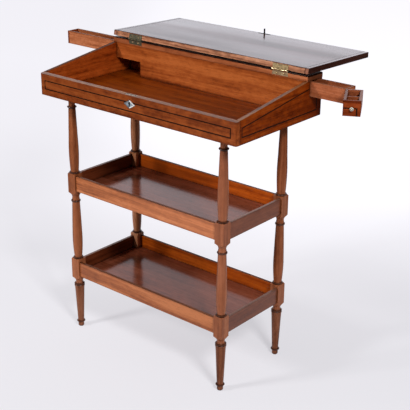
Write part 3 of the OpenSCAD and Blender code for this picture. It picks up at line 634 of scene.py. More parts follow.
@dataclass(frozen=True)
class Ebony:
    """The ebonised strings, satin, with a little grain along them."""

    name: str = "ebonised_string"
    slot: str = "string_wood"
    dark: Colour = (0.007, 0.002, 0.001)
    light: Colour = (0.022, 0.007, 0.003)
    fineness: Triple = (300.0, 300.0, 300.0)
    span: Span = (0.35, 0.65)
    roughness: float = 0.4
    swing: float = 0.3
    specular: float = 0.12
    relief: float = 0.2
    relief_depth: float = 0.1 * MM

    def material(self) -> Material:
        """Makes the strings' finish.

        Returns:
            The material.
        """
        made, shader, place = new_material(self.name)
        grain = shader.noise(place, self.fineness, 3.0)
        shader.principled({
            "Base Color": shader.blend(grain.step(*self.span), self.dark, self.light),
            "Roughness": grain.swing(self.swing) + self.roughness,
            "Normal": shader.bump(grain, self.relief, self.relief_depth),
            "Specular IOR Level": self.specular})
        return made


@dataclass(frozen=True)
class OldMetal:
    """Brass or steel with tarnish in patches and fine scratches."""

    name: str
    slot: str
    bright: Colour
    tarnish: Colour
    share: float = 0.5
    roughness: float = 0.3
    metallic: float = 1.0
    specular: float = 0.5
    patches: Triple = (170.0, 170.0, 170.0)
    patch_span: Span = (0.38, 0.62)
    scratches: Triple = (180.0, 2400.0, 2400.0)
    scratch_swing: float = 0.2
    scratch_share: float = 0.4
    dulling: float = 0.35
    dull_roughness: float = 0.25
    relief: float = 0.2
    relief_depth: float = 0.1 * MM

    def material(self) -> Material:
        """Makes the metal, brighter where it is rubbed.

        Returns:
            The material.
        """
        made, shader, place = new_material(self.name)
        patch = shader.noise(place, self.patches, 4.0, 0.65)
        scratch = shader.noise(place, self.scratches, 2.0)
        dull = (patch + (self.share - 0.5) / 2).step(*self.patch_span)
        shader.principled({
            "Base Color": shader.blend(dull, self.bright, self.tarnish),
            "Metallic": (1.0 - dull * self.dulling) * self.metallic,
            "Roughness": dull * self.dull_roughness + scratch.swing(self.scratch_swing) + self.roughness,
            "Normal": shader.bump(scratch * self.scratch_share + patch, self.relief, self.relief_depth),
            "Specular IOR Level": self.specular})
        return made


@dataclass(frozen=True)
class Bone:
    """Polished bone with fine flecks, a little dirty."""

    name: str = "polished_bone"
    slot: str = "knob_bone"
    pale: Colour = (0.58, 0.54, 0.46)
    fleck: Colour = (0.34, 0.27, 0.19)
    fineness: Triple = (260.0, 900.0, 900.0)
    span: Span = (0.5, 0.75)
    roughness: float = 0.25
    swing: float = 0.2
    coat: float = 0.3

    def material(self) -> Material:
        """Makes the knobs' finish.

        Returns:
            The material.
        """
        made, shader, place = new_material(self.name)
        fleck = shader.noise(place, self.fineness, 3.0)
        shader.principled({
            "Base Color": shader.blend(fleck.step(*self.span), self.pale, self.fleck),
            "Roughness": fleck.swing(self.swing) + self.roughness, "Coat Weight": self.coat})
        return made


# Tones, as light that the wood gives back; many were set piece by piece to look right under these lamps, so
# besides the wood's own colour they hold painted light and shade

CASE = Mahogany("case", "case", (0.245, 0.049, 0.007), specular=0.2, ribbon=0.6, grime=0.4, mottle=1.4,
                ends=(-0.35, 0.15))
SIDE = Mahogany("right_side", "case", (0.195, 0.029, 0.0015), specular=0.08, ribbon=0.6, mottle=1.1,
                grime=0.5, ends=(0.0, -0.95), end_reach=0.3)
# The tops of the front and the right side, paler with a painted highlight where they catch the light.
RIM = Mahogany("highlit_rim", "case", (0.27, 0.085, 0.015), specular=0.48, streak=2.0, mottle=1.0)
SIDE_RIM = Mahogany("highlit_side_rim", "case", (0.17, 0.050, 0.010), specular=0.48, streak=2.0, mottle=1.0)
DARK_RIM = Mahogany("dark_rim", "case", (0.13, 0.034, 0.006), specular=0.02)
INNER = Mahogany("inner_side", "case", (0.34, 0.057, 0.007), specular=0.15, mottle=0.8)
WELL = Mahogany("well_floor", "inner", (0.175, 0.028, 0.0015), specular=0.1, streak=2.4, ribbon=1.8,
                mottle=1.0)
PARTITION = Mahogany("partition", "partition", (0.36, 0.078, 0.014), specular=0.2, mottle=0.7)
# The fixed top and its ends carry the crown's painted shadow under the lid.
TOP = Mahogany("fixed_top", "top", (0.39, 0.108, 0.036), crown=2.5 * MM)
TOP_END = Mahogany("top_end", "top", (0.10, 0.025, 0.008), specular=0.15, crown=4 * MM)
LID = Mahogany("lid", "top", (0.10, 0.042, 0.034), roughness=0.17, specular=0.13, streak=2.4, ribbon=2.4,
               mottle=1.0, relief=0.12, grime=0.7, cloudy_coat=0.36)
LID_EDGE = Mahogany("lid_edge", "top", (0.46, 0.18, 0.083), roughness=0.5, streak=3.0, ribbon=2.5,
                    mottle=1.2)
CLAMP_EDGE = Mahogany("clamp_edge", "top", (0.34, 0.12, 0.060), roughness=0.5, grime=0.7)
LID_END = Mahogany("lid_end", "top", (0.035, 0.010, 0.006), specular=0.15)
# Nearly black: the painted shadow of the gap between the lid and the fixed top.
LID_ARRIS = Mahogany("lid_arris_shadow", "top", (0.018, 0.007, 0.005), specular=0.1)
DRAWER = Mahogany("drawer", "drawer", (0.42, 0.125, 0.045), specular=0.2)
RIGHT_DRAWER = Mahogany("right_drawer", "drawer", (0.345, 0.095, 0.035), specular=0.2)
DRAWER_TOP = Mahogany("drawer_top", "drawer", (0.24, 0.075, 0.030), specular=0.02)
BOX_TOP = Mahogany("end_box_top", "drawer", (0.26, 0.085, 0.045), specular=0.12)
FACE = Mahogany("end_box_face", "drawer", (0.20, 0.032, 0.006), specular=0.06)
LEG_FRONT_LEFT = Mahogany("front_left_leg", "leg", (0.31, 0.093, 0.032), specular=0.12, grime=0.0,
                          ends=(0.5, -0.35))
LEG_FRONT_RIGHT = Mahogany("front_right_leg", "leg", (0.28, 0.086, 0.033), specular=0.12, grime=0.0,
                           ends=(0.25, 0.40))
LEG_BACK_LEFT = Mahogany("back_left_leg", "leg", (0.43, 0.160, 0.070), specular=0.2, grime=0.0)
LEG_BACK_RIGHT = Mahogany("back_right_leg", "leg", (0.29, 0.086, 0.032), specular=0.12, grime=0.0,
                          ends=(0.1, -0.4))
FOOT = Mahogany("foot", "leg", (0.20, 0.063, 0.026), specular=0.15, grime=0.0)
# Rings and bead grooves: darker wood, with the shade of the grooves painted in.
LEG_RING = Mahogany("leg_ring", "leg", (0.085, 0.025, 0.010), specular=0.35, grime=0.0)
RAIL = Mahogany("rail", "rail", (0.47, 0.14, 0.044), streak=1.8, ends=(0.0, 0.35))
LOW_RAIL = Mahogany("low_rail", "rail", (0.41, 0.117, 0.034), streak=1.8, ribbon=1.1, ends=(0.1, -0.1))
RAIL_TOP = Mahogany("rail_top", "rail", (0.13, 0.038, 0.013), specular=0.03)
RAIL_END = Mahogany("end_rail", "rail", (0.165, 0.042, 0.014), specular=0.35, streak=0.8, ribbon=0.5)
END_TOP = Mahogany("end_rail_top", "rail", (0.17, 0.068, 0.038), specular=0.22)
RAIL_INNER = Mahogany("inner_rail", "rail", (0.42, 0.068, 0.004), specular=0.15, streak=1.9, ribbon=1.5,
                      ends=(0.45, -0.1))
LOW_INNER = Mahogany("low_inner_rail", "rail", (0.42, 0.072, 0.004), specular=0.15, streak=1.7, ribbon=1.5,
                     ends=(0.0, -0.4))
RAIL_SHADE = Mahogany("shaded_rail", "rail", (0.125, 0.026, 0.008), specular=0.15)
TRAY = Mahogany("tray", "tray", (0.19, 0.046, 0.020), roughness=0.15, specular=0.35, streak=0.9,
                ribbon=0.7, relief=0.12)
STRING = Ebony()
BONE = Bone()
RING = Bone("stained_ring_bone", "knob_bone", (0.10, 0.075, 0.05), (0.05, 0.035, 0.02))
BRASS = OldMetal("hinge_brass", "hinge_brass", (0.48, 0.35, 0.18), (0.22, 0.155, 0.075), 0.5, 0.34)
# The fixed leaves are paler brass: painted light that makes up for how they face the lamps.
PALE_BRASS = OldMetal("brightened_hinge_brass", "hinge_brass", (0.95, 0.74, 0.44), (0.55, 0.40, 0.22), 0.45, 0.34)
DARK_BRASS = OldMetal("tarnished_hinge_brass", "hinge_brass", (0.30, 0.25, 0.14), (0.09, 0.085, 0.055), 0.65,
                      0.35)
SILVERED = OldMetal("silvered_plate", "pale_metal", (0.82, 0.79, 0.76), (0.62, 0.55, 0.50), 0.3, 0.4, 0.2)
# A painted dark reflection on the left half of the lozenge's rim.
DARK_REFLECTION = OldMetal("dark_reflection_plate", "pale_metal", (0.20, 0.19, 0.20), (0.11, 0.10, 0.105), 0.4, 0.4, 0.3)
BLUED = OldMetal("blued_steel", "blued_steel", (0.34, 0.40, 0.46), (0.18, 0.20, 0.23), 0.35, 0.35, 0.3)
STEEL = OldMetal("old_steel", "old_steel", (0.36, 0.34, 0.32), (0.10, 0.085, 0.07), 0.5, 0.35)
SELVEDGE = OldMetal("rubbed_selvedge", "old_steel", (0.52, 0.42, 0.36), (0.24, 0.16, 0.12), 0.45, 0.45, 0.3)
IRON = OldMetal("dark_iron", "old_steel", (0.030, 0.025, 0.022), (0.010, 0.008, 0.007), 0.6, 0.6, 0.0, 0.1)


# Dressing


def copied(node: str, name: str) -> Piece:
    """Copies a solid's mesh into a new piece and merges its loose triangles into flat faces.

    Args:
        node: The solid's name.
        name: The new piece's name.

    Returns:
        The new piece, at the origin.
    """
    piece = linked(name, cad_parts[node].data.copy())
    piece.data.name = name
    with edited(piece):
        bpy.ops.mesh.select_all(action="SELECT")
        bpy.ops.mesh.remove_doubles(threshold=HAIR / 2)
        bpy.ops.mesh.dissolve_limited(angle_limit=math.radians(0.6))
    return piece


def ease(piece: Piece, width: float, wanted: Callable[[Edge], bool] | None = None) -> None:
    """Rounds the outer edges of a piece, and leaves the walls of inlay grooves alone.

    Args:
        piece: The object to ease.
        width: The width of the rounding, in metres.
        wanted: A further test for an edge, or None for all outer edges.
    """
    groove_depth = 1.5 * MM

    def is_arris(edge: Edge) -> bool:
        """Tells whether an edge is an outer one that is rounded.

        Args:
            edge: The edge.

        Returns:
            True for an outer edge that the further test accepts too.
        """
        if len(edge.link_faces) != 2 or not edge.is_convex or not is_corner(edge):
            return False
        if any(is_groove_wall(face, groove_depth) for face in edge.link_faces):
            return False
        return wanted is None or wanted(edge)

    with edited(piece) as mesh:
        if choose(mesh, "edges", is_arris):
            bpy.ops.mesh.bevel(offset=width, offset_type="OFFSET", segments=2, profile=0.6, affect="EDGES",
                               clamp_overlap=False)


def dress(piece: Piece, material: Material, body: str, slot: str, *nodes: str) -> None:
    """Gives a piece its finish and its body, and puts it in the place of its solids.

    Args:
        piece: The piece.
        material: Its finish.
        body: The body that it rides on.
        slot: The record's slot; not used.
        nodes: The solids that it stands for.
    """
    piece.data.materials.clear()
    piece.data.materials.append(material)
    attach(piece, body)
    if nodes:
        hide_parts(*nodes)
    LOG.info("%s rides on %s", piece.name, body)


def refinish(piece: Piece, material: Material, wanted: Callable[[Face], bool]) -> None:
    """Gives some faces a second finish.

    Args:
        piece: The piece.
        material: The second finish.
        wanted: The test for the faces.
    """
    piece.data.materials.append(material)
    with edited(piece) as mesh:
        choose(mesh, "faces", wanted)
        piece.active_material_index = len(piece.data.materials) - 1
        bpy.ops.object.material_slot_assign()


def plain_piece(node: str, material: Material, slot: str, body: str, width: float = 0.0) -> Piece:
    """Makes the finished copy of a small solid.

    Args:
        node: The solid's name.
        material: Its finish.
        slot: The record's slot.
        body: The body that it rides on.
        width: The width of its eased edges, or 0 for sharp ones.

    Returns:
        The copy.
    """
    piece = copied(node, f"{node}_finished")
    if width:
        ease(piece, width)
    smooth(piece)
    dress(piece, material, body, slot, node)
    return piece


@dataclass
class Joiner:
    """Eases and dresses the boards of one sub-assembly, each with a figure of its own."""

    body: str
    seed: float
    turn: float = 0.0
    edge: float = 0.5 * MM
    upward: float = 0.35

    def board(self, node: str, finish: Mahogany, grain: Grain, upper: Mahogany | None = None,
              edge: float | None = None) -> Piece:
        """Makes the board of one solid.

        Args:
            node: The solid's name.
            finish: Its mahogany.
            grain: The way its grain runs.
            upper: The mahogany of the faces that look up, where they have another.
            edge: The width of its eased edges, where it isn't the usual one.

        Returns:
            The board.
        """
        piece = copied(node, f"{node}_eased")
        ease(piece, self.edge if edge is None else edge)
        smooth(piece)
        self.seed += 1.0
        space = BoardSpace.of(piece, grain.turned(self.turn))
        dress(piece, finish.material(space, self.seed), self.body, finish.slot, node)
        if upper is not None:
            refinish(piece, upper.material(space, self.seed), lambda face: face.normal.z > self.upward)
        return piece

    def recolour(self, piece: Piece, finish: Mahogany, grain: Grain,
                 wanted: Callable[[Face], bool]) -> None:
        """Gives some faces of the board that was made last a second mahogany.

        Args:
            piece: The board.
            finish: The second mahogany.
            grain: The way that its grain runs.
            wanted: The test for the faces.
        """
        space = BoardSpace.of(piece, grain.turned(self.turn))
        refinish(piece, finish.material(space, self.seed), wanted)


# Sub-assemblies


@dataclass
class Case:
    """The slanted case with its well, its partition and its fixed top."""

    joiner: Joiner = field(default_factory=lambda: Joiner("desk", 0.0))

    def build(self) -> None:
        """Dresses the boards and the strings."""
        self.joiner.board("front_panel", CASE, Grain.ALONG, RIM)
        self.joiner.board("left_side", INNER, Grain.ACROSS, DARK_RIM)
        self.joiner.board("right_side", SIDE, Grain.ACROSS, SIDE_RIM)
        self.joiner.board("bottom_board", WELL, Grain.ALONG)
        self.joiner.board("partition", PARTITION, Grain.ALONG)
        self.joiner.board("back_panel", CASE, Grain.ALONG)
        top = self.joiner.board("fixed_top", TOP, Grain.ALONG)
        self.joiner.recolour(top, TOP_END, Grain.ACROSS, is_board_end)
        self.joiner.board("runner_board", PARTITION, Grain.ALONG)
        self.joiner.board("drawer_stop", PARTITION, Grain.UPRIGHT)
        self.joiner.board("pigeonhole_end", PARTITION, Grain.UPRIGHT)
        ebony = STRING.material()
        for node in ("front_string", "left_string", "right_string"):
            plain_piece(node, ebony, STRING.slot, "desk")


@dataclass
class Lid:
    """The lid, folded back, with a cross-grain clamp at each end."""

    joiner: Joiner = field(default_factory=lambda: Joiner("lid", 20.0, edge=1.0 * MM))
    arris_tilt: Span = (-0.93, -0.1)
    hinge_end: float = 50 * MM

    def build(self) -> None:
        """Dresses the board and its clamps, whose arrises at the hinges carry a painted shadow."""
        for node, grain, edge in (("lid_panel", Grain.ALONG, LID_EDGE),
                                  ("lid_clamp_left", Grain.ACROSS, CLAMP_EDGE),
                                  ("lid_clamp_right", Grain.ACROSS, CLAMP_EDGE)):
            piece = self.joiner.board(node, LID, grain)
            self.joiner.recolour(piece, edge, Grain.ALONG, lambda face: face.normal.y < -FACING)
            self.joiner.recolour(piece, LID_END, Grain.ACROSS, is_board_end)
            self.joiner.recolour(piece, LID_ARRIS, Grain.ALONG, self.is_arris)

    def is_arris(self, face: Face) -> bool:
        """Tells whether a face belongs to the eased edges at the hinges."""
        low, high = self.arris_tilt
        return low < face.normal.y < high and face.calc_center_median().y < self.hinge_end


@dataclass
class Metalwork:
    """The hinges, the lock, its escutcheon and the link plate."""

    edge: float = 0.15 * MM
    screw_r: float = 1.9 * MM
    screw_h: float = 0.5 * MM
    screw_inset: float = 5.0 * MM
    screw_rim: float = 0.3 * MM
    screw_crown: float = 0.15 * MM
    slit_half: float = 0.25 * MM
    slit_depth: float = 0.2 * MM
    # Sizes of the dark piece that paints the shade in the keyhole.
    hole_shade_t: float = 0.3 * MM
    hole_shade_edge: float = 0.08 * MM
    eye_r: float = 3.1 * MM
    eye_rise: float = 2.9 * MM
    slot_w: float = 3.5 * MM
    slot_l: float = 9.0 * MM
    slot_drop: float = 1.4 * MM
    lozenge_share: Triple = (0.93, 1.0, 0.86)
    iron: Material = field(default_factory=IRON.material)

    def build(self) -> None:
        """Dresses the metal pieces, adds the lock's screws, and paints the keyhole's shade with a dark
        piece.
        """
        brass, pale_brass, dark_brass, steel = (
            finish.material() for finish in (BRASS, PALE_BRASS, DARK_BRASS, STEEL))
        for node, body in (("hinge_leaf_fixed", "desk"), ("hinge_leaf_lid", "lid"), ("hinge_pin", "desk"),
                           ("hinge_screw_fixed", "desk"), ("hinge_screw_lid", "lid")):
            piece = plain_piece(node, pale_brass if "fixed" in node else brass, BRASS.slot, body)
            if "screw" not in node:
                refinish(piece, dark_brass, lambda face: face.calc_center_median().x < 0.0)
        plain_piece("link_plate", self.iron, IRON.slot, "lid", self.edge)
        lock = plain_piece("lock_case", steel, STEEL.slot, "desk", self.edge)
        refinish(lock, SELVEDGE.material(), lambda face: face.normal.z > FACING)
        self.selvedge_screws(lock)
        plain_piece("lock_bolt", steel, STEEL.slot, "lock_bolt", self.edge)
        self.lozenge()
        plain_piece("end_box_pin", brass, BRASS.slot, "right_drawer")

    def selvedge_screws(self, lock: Piece) -> None:
        """Adds the two screws that hold the lock's selvedge, each with its slot.

        Args:
            lock: The lock's case.
        """
        space = BoardSpace.of(lock, Grain.ALONG.turned())
        reach = space.half.x - self.screw_inset
        for number, offset in enumerate((-reach, reach)):
            place = space.middle + Vector((offset, 0.0, space.half.z))
            head = primitive(bpy.ops.mesh.primitive_cylinder_add, f"selvedge_screw_{number}", vertices=20,
                             radius=self.screw_r, depth=self.screw_h, location=place)
            self.cut_slit(head, place)
            smooth(head)
            dress(head, self.iron, "desk", IRON.slot)

    def cut_slit(self, head: Piece, place: Vector) -> None:
        """Crowns a screw's head and cuts its slot.

        Args:
            head: The screw's head.
            place: Its middle.
        """
        across = Vector((0.0, self.slit_half, 0.0))

        def is_in_slit(face: Face) -> bool:
            """Tells whether a face is the top between the slot's two sides."""
            off_middle = abs(face.calc_center_median().y - place.y)
            return face.normal.z > SQUARE_ON and off_middle < self.slit_half

        with edited(head) as mesh:
            choose(mesh, "faces", lambda face: face.normal.z > FACING)
            bpy.ops.mesh.inset(thickness=self.screw_rim, depth=self.screw_crown)
            for side in (place - across, place + across):
                bpy.ops.mesh.bisect(plane_co=side, plane_no=(0.0, 1.0, 0.0))
                choose(mesh, "faces", lambda face: face.normal.z > SQUARE_ON)
            choose(mesh, "faces", is_in_slit)
            inward = {"value": -self.slit_depth}
            bpy.ops.mesh.extrude_region_shrink_fatten(TRANSFORM_OT_shrink_fatten=inward)

    def lozenge(self) -> None:
        """Dresses the lozenge, drawn in to its worn outline, with a painted dark reflection on the left half
        of its rim.
        """
        rim = plain_piece("lozenge_rim_plate", SILVERED.material(), SILVERED.slot, "desk", self.edge)
        plate = plain_piece("lozenge_plate", BLUED.material(), BLUED.slot, "desk")
        space = BoardSpace.of(rim, Grain.ALONG.turned())
        for piece in (rim, plate):
            with edited(piece):
                bpy.ops.mesh.select_all(action="SELECT")
                bpy.ops.transform.resize(value=self.lozenge_share, center_override=space.middle)
                bpy.ops.mesh.bisect(plane_co=space.middle, plane_no=(1.0, 0.0, 0.0))
        refinish(rim, DARK_REFLECTION.material(), lambda face: face.calc_center_median().x < space.middle.x)
        self.keyhole_shade(space.middle - Vector((0.0, space.half.y, 0.0)))

    def keyhole_shade(self, middle: Vector) -> None:
        """Adds a dark piece in the keyhole's shape, a round eye over a slot, a little proud of the lozenge,
        as painted shade of the hole.

        Args:
            middle: The middle of the lozenge's front.
        """
        slot = primitive(bpy.ops.mesh.primitive_cube_add, "keyhole_slot", size=1.0,
                         location=middle - Vector((0.0, 0.0, self.slot_drop)),
                         scale=(self.slot_w, self.hole_shade_t, self.slot_l))
        hole_shade = primitive(bpy.ops.mesh.primitive_cylinder_add, "keyhole_shade", vertices=28,
                          radius=self.eye_r, depth=self.hole_shade_t,
                          location=middle + Vector((0.0, 0.0, self.eye_rise)),
                          rotation=(math.pi / 2, 0.0, 0.0))
        bpy.ops.object.modifier_add(type="BOOLEAN")
        hole_shade.modifiers[-1].operation = "UNION"
        hole_shade.modifiers[-1].object = slot
        bpy.ops.object.modifier_apply(modifier=hole_shade.modifiers[-1].name)
        bpy.data.objects.remove(slot)
        ease(hole_shade, self.hole_shade_edge)
        smooth(hole_shade)
        dress(hole_shade, self.iron, "desk", IRON.slot)


@dataclass
class Drawers:
    """The two side drawers and the end box that swivels on the right one."""

    edge: float = 0.3 * MM
    box_turn: float = -math.radians(61.0)
    ring_r: Span = (1.5 * MM, 2.8 * MM)
    lengthwise: tuple[str, ...] = ("front_wall", "rear_wall", "bottom")

    def build(self) -> None:
        """Dresses the drawers' walls, faces, strings and knobs."""
        left = Joiner("left_drawer", 40.0, edge=self.edge)
        right = Joiner("right_drawer", 60.0, edge=self.edge)
        box = Joiner("end_box", 80.0, self.box_turn, self.edge)
        for joiner, wood, top, parts in (
                (left, DRAWER, DRAWER_TOP, ("front_wall", "rear_wall", "end", "bottom")),
                (right, RIGHT_DRAWER, DRAWER_TOP,
                 ("front_wall", "rear_wall", "inner_end", "outer_end", "bottom")),
                (box, RIGHT_DRAWER, BOX_TOP,
                 ("front_wall", "rear_wall", "inner_wall", "cross_wall", "bottom"))):
            for part in parts:
                grain = Grain.ALONG if part in self.lengthwise else Grain.ACROSS
                joiner.board(f"{joiner.body}_{part}", wood, grain, top)
        ebony, ivory, ring = (finish.material() for finish in (STRING, BONE, RING))
        for joiner, way in ((left, math.pi), (box, self.box_turn)):
            joiner.board(f"{joiner.body}_face", FACE, Grain.ACROSS)
            plain_piece(f"{joiner.body}_string", ebony, STRING.slot, joiner.body)
            knob = plain_piece(f"{joiner.body}_knob", ivory, BONE.slot, joiner.body)
            middle = BoardSpace.of(knob, Grain.ALONG.turned(way)).middle
            axis = Vector((math.cos(way), math.sin(way), 0.0))
            refinish(knob, ring, lambda face: self.is_ring(face, middle, axis))

    def is_ring(self, face: Face, middle: Vector, axis: Vector) -> bool:
        """Tells whether a knob's face lies in the dark ring that is turned round its crown.

        Args:
            face: The face.
            middle: The knob's middle.
            axis: The way that the knob looks.

        Returns:
            True for the ring.
        """
        away = face.calc_center_median() - middle
        off_axis = (away - away.dot(axis) * axis).length
        return face.normal.dot(axis) > 0.5 and self.ring_r[0] < off_axis < self.ring_r[1]


@dataclass
class Stand:
    """The four turned legs and the two open trays.

    The girth is the widening of a leg's turned parts at heights in millimetres, with straight lines between.
    """

    feet: Levels = ((-1 * MM, 138 * MM),)
    block_reach: float = 12.8 * MM
    block_edge: float = 15 * MM
    eased: float = 0.7 * MM
    turned_angle: float = 30.0
    inward: float = 50 * MM
    girth: Levels = ((0, 1.17), (142, 1.16), (143, 1.0), (210, 1.0), (211, 1.12), (376, 1.11), (377, 1.18),
                     (382, 1.18), (382.5, 1.13), (387, 1.12), (388, 1.0), (457, 1.0), (458, 1.17),
                     (490, 1.13), (535, 1.08), (565, 1.07), (610, 1.16), (630, 1.24), (667, 1.24),
                     (668, 1.0), (700, 1.0))
    lowered: Span = (124 * MM, 158.5 * MM)
    lowering: float = 5 * MM
    rings: Levels = ((13 * MM, 20 * MM), (130 * MM, 137 * MM), (211.1 * MM, 215.9 * MM),
                     (376 * MM, 383 * MM), (458.1 * MM, 462.9 * MM), (635 * MM, 643 * MM))

    def build(self) -> None:
        """Dresses the legs, the rails and the tray boards."""
        joiner = Joiner("desk", 100.0)
        for corner, finish in (("front_left", LEG_FRONT_LEFT), ("front_right", LEG_FRONT_RIGHT),
                               ("back_left", LEG_BACK_LEFT), ("back_right", LEG_BACK_RIGHT)):
            joiner.seed += 1.0
            self.leg(f"leg_{corner}", finish, joiner.seed)
        for tray, rail, inside in (("lower", LOW_RAIL, LOW_INNER), ("upper", RAIL, RAIL_INNER)):
            joiner.board(f"{tray}_tray_board", TRAY, Grain.ALONG)
            for node, finish, inner, upper, grain in (
                    (f"{tray}_rails_long", rail, inside, RAIL_TOP, Grain.ALONG),
                    (f"{tray}_rails_short", RAIL_END, RAIL_SHADE, END_TOP, Grain.ACROSS)):
                piece = joiner.board(node, finish, grain, upper, self.eased)
                middle = BoardSpace.of(piece, grain.turned()).middle
                joiner.recolour(piece, inner, grain, lambda face: self.looks_inward(face, middle))

    def looks_inward(self, face: Face, middle: Vector) -> bool:
        """Tells whether an upright face of a rail looks at the middle of its tray."""
        away = face.calc_center_median() - middle
        return abs(face.normal.z) < 0.5 and away.xy.dot(face.normal.xy) < -self.inward

    def leg(self, node: str, finish: Mahogany, seed: float) -> None:
        """Makes one leg, its blocks' upright edges eased, its rings and bead grooves dark, partly with
        painted shade, and its foot darker.

        Args:
            node: The leg's solid.
            finish: Its mahogany.
            seed: The figure's number.
        """
        def is_upright(edge: Edge) -> bool:
            """Tells whether an edge is an upright one of a block.

            Args:
                edge: The edge.

            Returns:
                True for a long upright edge.
            """
            first, second = (vertex.co for vertex in edge.verts)
            run = second - first
            return abs(run.z) > self.block_edge and abs(run.x) + abs(run.y) < HAIR

        piece = copied(node, f"{node}_turned")
        self.fatten(piece)
        ease(piece, self.eased, is_upright)
        smooth(piece, self.turned_angle)
        space = BoardSpace.of(piece, Grain.UPRIGHT.turned())
        dress(piece, finish.material(space, seed), "desk", finish.slot, node)
        for second, spans in ((FOOT, self.feet), (LEG_RING, self.rings)):
            refinish(piece, second.material(space, seed), lambda face: any(
                low < face.calc_center_median().z < high for low, high in spans))

    def fatten(self, piece: Piece) -> None:
        """Gives a leg's turned parts their girth, and lowers the cove and ring under its lower block.

        Args:
            piece: The leg.
        """
        space = BoardSpace.of(piece, Grain.ALONG.turned())
        axis = Vector((space.middle.x, space.middle.y, 0.0))

        def is_turned(vertex: bmesh.types.BMVert, level: float) -> bool:
            """Tells whether a vertex at a level belongs to a turned part."""
            return abs(vertex.co.z - level) < HAIR and (vertex.co - axis).xy.length < self.block_reach

        with edited(piece) as mesh:
            for level in sorted({round(vertex.co.z, 5) for vertex in mesh.verts}):
                factor = self.girth_at(level)
                if factor > 1.0:
                    choose(mesh, "verts", lambda vertex: is_turned(vertex, level))
                    bpy.ops.transform.resize(value=(factor, factor, 1.0), center_override=axis)
            low, high = self.lowered
            choose(mesh, "verts", lambda vertex: low < vertex.co.z < high)
            bpy.ops.transform.translate(value=(0.0, 0.0, -self.lowering))

    def girth_at(self, height: float) -> float:
        """Reads the widening of a leg at a height.

        Args:
            height: The height above the floor, in metres.

        Returns:
            The factor, 1 where nothing is widened.
        """
        for (low, first), (high, second) in zip(self.girth, self.girth[1:]):
            if low * MM <= height <= high * MM:
                return first + (second - first) * (height / MM - low) / (high - low)
        return 1.0


# Studio


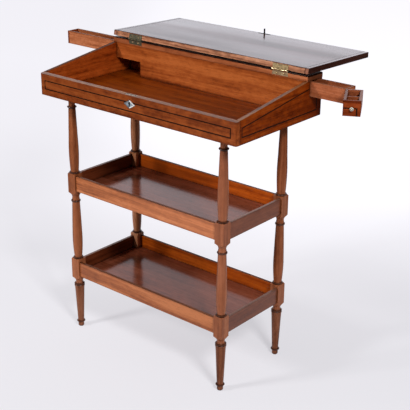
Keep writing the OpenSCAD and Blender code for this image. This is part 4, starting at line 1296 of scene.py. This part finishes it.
@dataclass
class Studio:
    """The camera, the lamps, the world and the floor.

    The levels are the floor's brightness at distances from the desk, on the picture's left and right.
    """

    azimuth: float = math.radians(39.87)
    elevation: float = math.radians(22.17)
    roll: float = math.radians(0.53)
    camera_place: Triple = (1.58685, -1.87338, 1.3608)
    lens: float = 86.22
    sensor: float = 36.0
    aim: Triple = (0.0, 0.0, 0.5)
    lamp_size: float = 0.5
    lamps: tuple[tuple[str, Triple, float], ...] = (
        ("key", (-1.15, -2.5, 1.9), 46.0), ("fill", (2.08, -1.2, 2.2), 52.0))
    ambient: float = 0.16
    ambient_tint: Colour = (0.97, 0.98, 1.0)
    mirror_tint: Colour = (0.96, 0.97, 1.05)
    least_reach: float = 0.05
    room_dim: float = 0.05
    room_bright: float = 1.46
    room_fall: float = 0.95
    room_fall_span: Span = (0.20, 0.75)
    room_edge: Span = (0.50, 0.80)
    room_front: Span = (0.0, 0.15)
    floor_size: float = 16.0
    paper_half: float = 1.45
    paper_blur: float = 0.1
    paper_front: Span = (-1.4, -1.2)
    paper_dim: float = 0.02
    paper_bright: float = 0.75
    floor_tint: Colour = (1.0, 0.985, 1.045)
    lit_floor: Colour = (0.80, 0.79, 0.82)
    shaded_floor: Colour = (0.36, 0.356, 0.37)
    level_start: float = -0.5
    level_length: float = 5.5
    level_seam: Span = (-0.75, -0.05)
    left_levels: Levels = ((-0.4, 0.527), (-0.16, 0.55), (0.13, 0.572), (0.48, 0.60), (0.92, 0.695),
                           (1.9, 0.76), (3.06, 0.81), (4.83, 0.82))
    right_levels: Levels = ((-0.4, 0.522), (-0.15, 0.54), (0.14, 0.59), (0.5, 0.70), (0.94, 0.86),
                            (1.9, 0.92), (3.06, 0.93), (4.85, 0.91))

    def build(self) -> None:
        """Makes everything that isn't part of the desk."""
        bpy.context.scene.view_settings.view_transform = "Standard"
        self.camera()
        self.world()
        self.floor()
        for name, place, power in self.lamps:
            self.lamp(name, Vector(place), power)

    def camera(self) -> None:
        """Places the camera at the photograph's viewpoint."""
        lens = bpy.data.cameras.new("camera")
        lens.lens = self.lens
        lens.sensor_width = self.sensor
        camera = linked("camera", lens)
        level = math.cos(self.elevation)
        ahead = Vector((-math.sin(self.azimuth) * level, math.cos(self.azimuth) * level,
                        -math.sin(self.elevation)))
        right = ahead.cross(Vector((0.0, 0.0, 1.0))).normalized()
        up = right.cross(ahead)
        side = math.cos(self.roll) * right + math.sin(self.roll) * up
        top = -math.sin(self.roll) * right + math.cos(self.roll) * up
        turn = Matrix((side, top, -ahead)).transposed().to_4x4()
        camera.matrix_world = Matrix.Translation(self.camera_place) @ turn
        bpy.context.scene.camera = camera

    def lamp(self, name: str, place: Vector, power: float) -> None:
        """Adds a square soft box that looks at the desk.

        Args:
            name: The lamp's name.
            place: Its middle.
            power: Its power in watts.
        """
        light = bpy.data.lights.new(name, "AREA")
        light.size = self.lamp_size
        light.energy = power
        lamp = linked(name, light)
        lamp.location = place
        lamp.rotation_euler = (Vector(self.aim) - place).to_track_quat("-Z", "Y").to_euler()
        lamp.visible_camera = False

    def world(self) -> None:
        """Makes the room: white behind the desk, darker behind the camera, and a plain light all round."""
        world = bpy.data.worlds.new("room")
        bpy.context.scene.world = world
        shader = Shader(world)
        direction = shader.node("TexCoord", output="Generated")
        sine, cosine = math.sin(self.azimuth), math.cos(self.azimuth)
        along = shader.vector("DOT_PRODUCT", direction, (-sine, cosine, 0.0), output="Value")
        across = shader.vector("DOT_PRODUCT", direction, (cosine, sine, 0.0), output="Value")
        reach = along.high(self.least_reach)
        sweep = 1.0 - (across.size() / reach).step(*self.room_edge)
        fall = (shader.part(direction, 2) / reach).step(*self.room_fall_span) * self.room_fall
        room = sweep * along.step(*self.room_front) * (self.room_bright - fall) + self.room_dim
        plain, white, mirrored = (
            shader.node("Background", None, {"Color": (*tint, 1.0), "Strength": strength})
            for tint, strength in ((self.ambient_tint, self.ambient), ((1.0, 1.0, 1.0), 1.0),
                                   (self.mirror_tint, room)))
        seen = shader.ray("Camera").high(shader.ray("Transmission"))
        lit = shader.mixed(shader.ray("Glossy"), plain, mirrored)
        shader.node("OutputWorld", None, {"Surface": shader.mixed(seen, lit, white)})

    def floor(self) -> None:
        """Lays the pale floor, which keeps the desk's shadow; for the camera it glows with painted
        brightness levels besides its lit colour, and to reflections it shows a painted bright band from in
        front of the desk to the back.
        """
        floor = primitive(bpy.ops.mesh.primitive_plane_add, "studio_floor", size=self.floor_size)
        made, shader, place = new_material("pale_floor")
        turned = shader.turned(place, (0.0, 0.0, 0.0), (0.0, 0.0, self.azimuth))
        across, along = shader.part(turned, 0), shader.part(turned, 1)
        reach = (along - self.level_start) / self.level_length
        tones = []
        for levels in (self.left_levels, self.right_levels):
            stops = [((distance - self.level_start) / self.level_length,
                      tuple(level * tint for tint in self.floor_tint)) for distance, level in levels]
            tones.append(shader.node("ValToRGB", {"stops": stops}, {"Fac": reach}))
        colour = shader.blend(across.step(*self.level_seam), *tones)
        lit, shaded = (shader.node("BsdfDiffuse", None, {"Color": (*tint, 1.0)})
                       for tint in (self.lit_floor, self.shaded_floor))
        shown = shader.node("Emission", None, {"Color": colour, "Strength": 1.0})
        seen = shader.node("AddShader", None, {0: shaded, 1: shown})
        edge = self.paper_half - self.paper_blur, self.paper_half + self.paper_blur
        paper = (1.0 - across.size().step(*edge)) * along.step(*self.paper_front)
        mirrored = shader.node("Emission", None, {
            "Color": (*self.mirror_tint, 1.0), "Strength": paper * self.paper_bright + self.paper_dim})
        surface = shader.mixed(shader.ray("Camera"), lit, seen)
        surface = shader.mixed(shader.ray("Glossy"), surface, mirrored)
        shader.node("OutputMaterial", None, {"Surface": surface})
        floor.data.materials.append(made)


def main() -> None:
    """Builds the studio and the desk."""
    logging.basicConfig(level=logging.INFO)
    for maker in (Studio(), Case(), Lid(), Metalwork(), Drawers(), Stand()):
        maker.build()


if __name__ == "__main__":
    main()
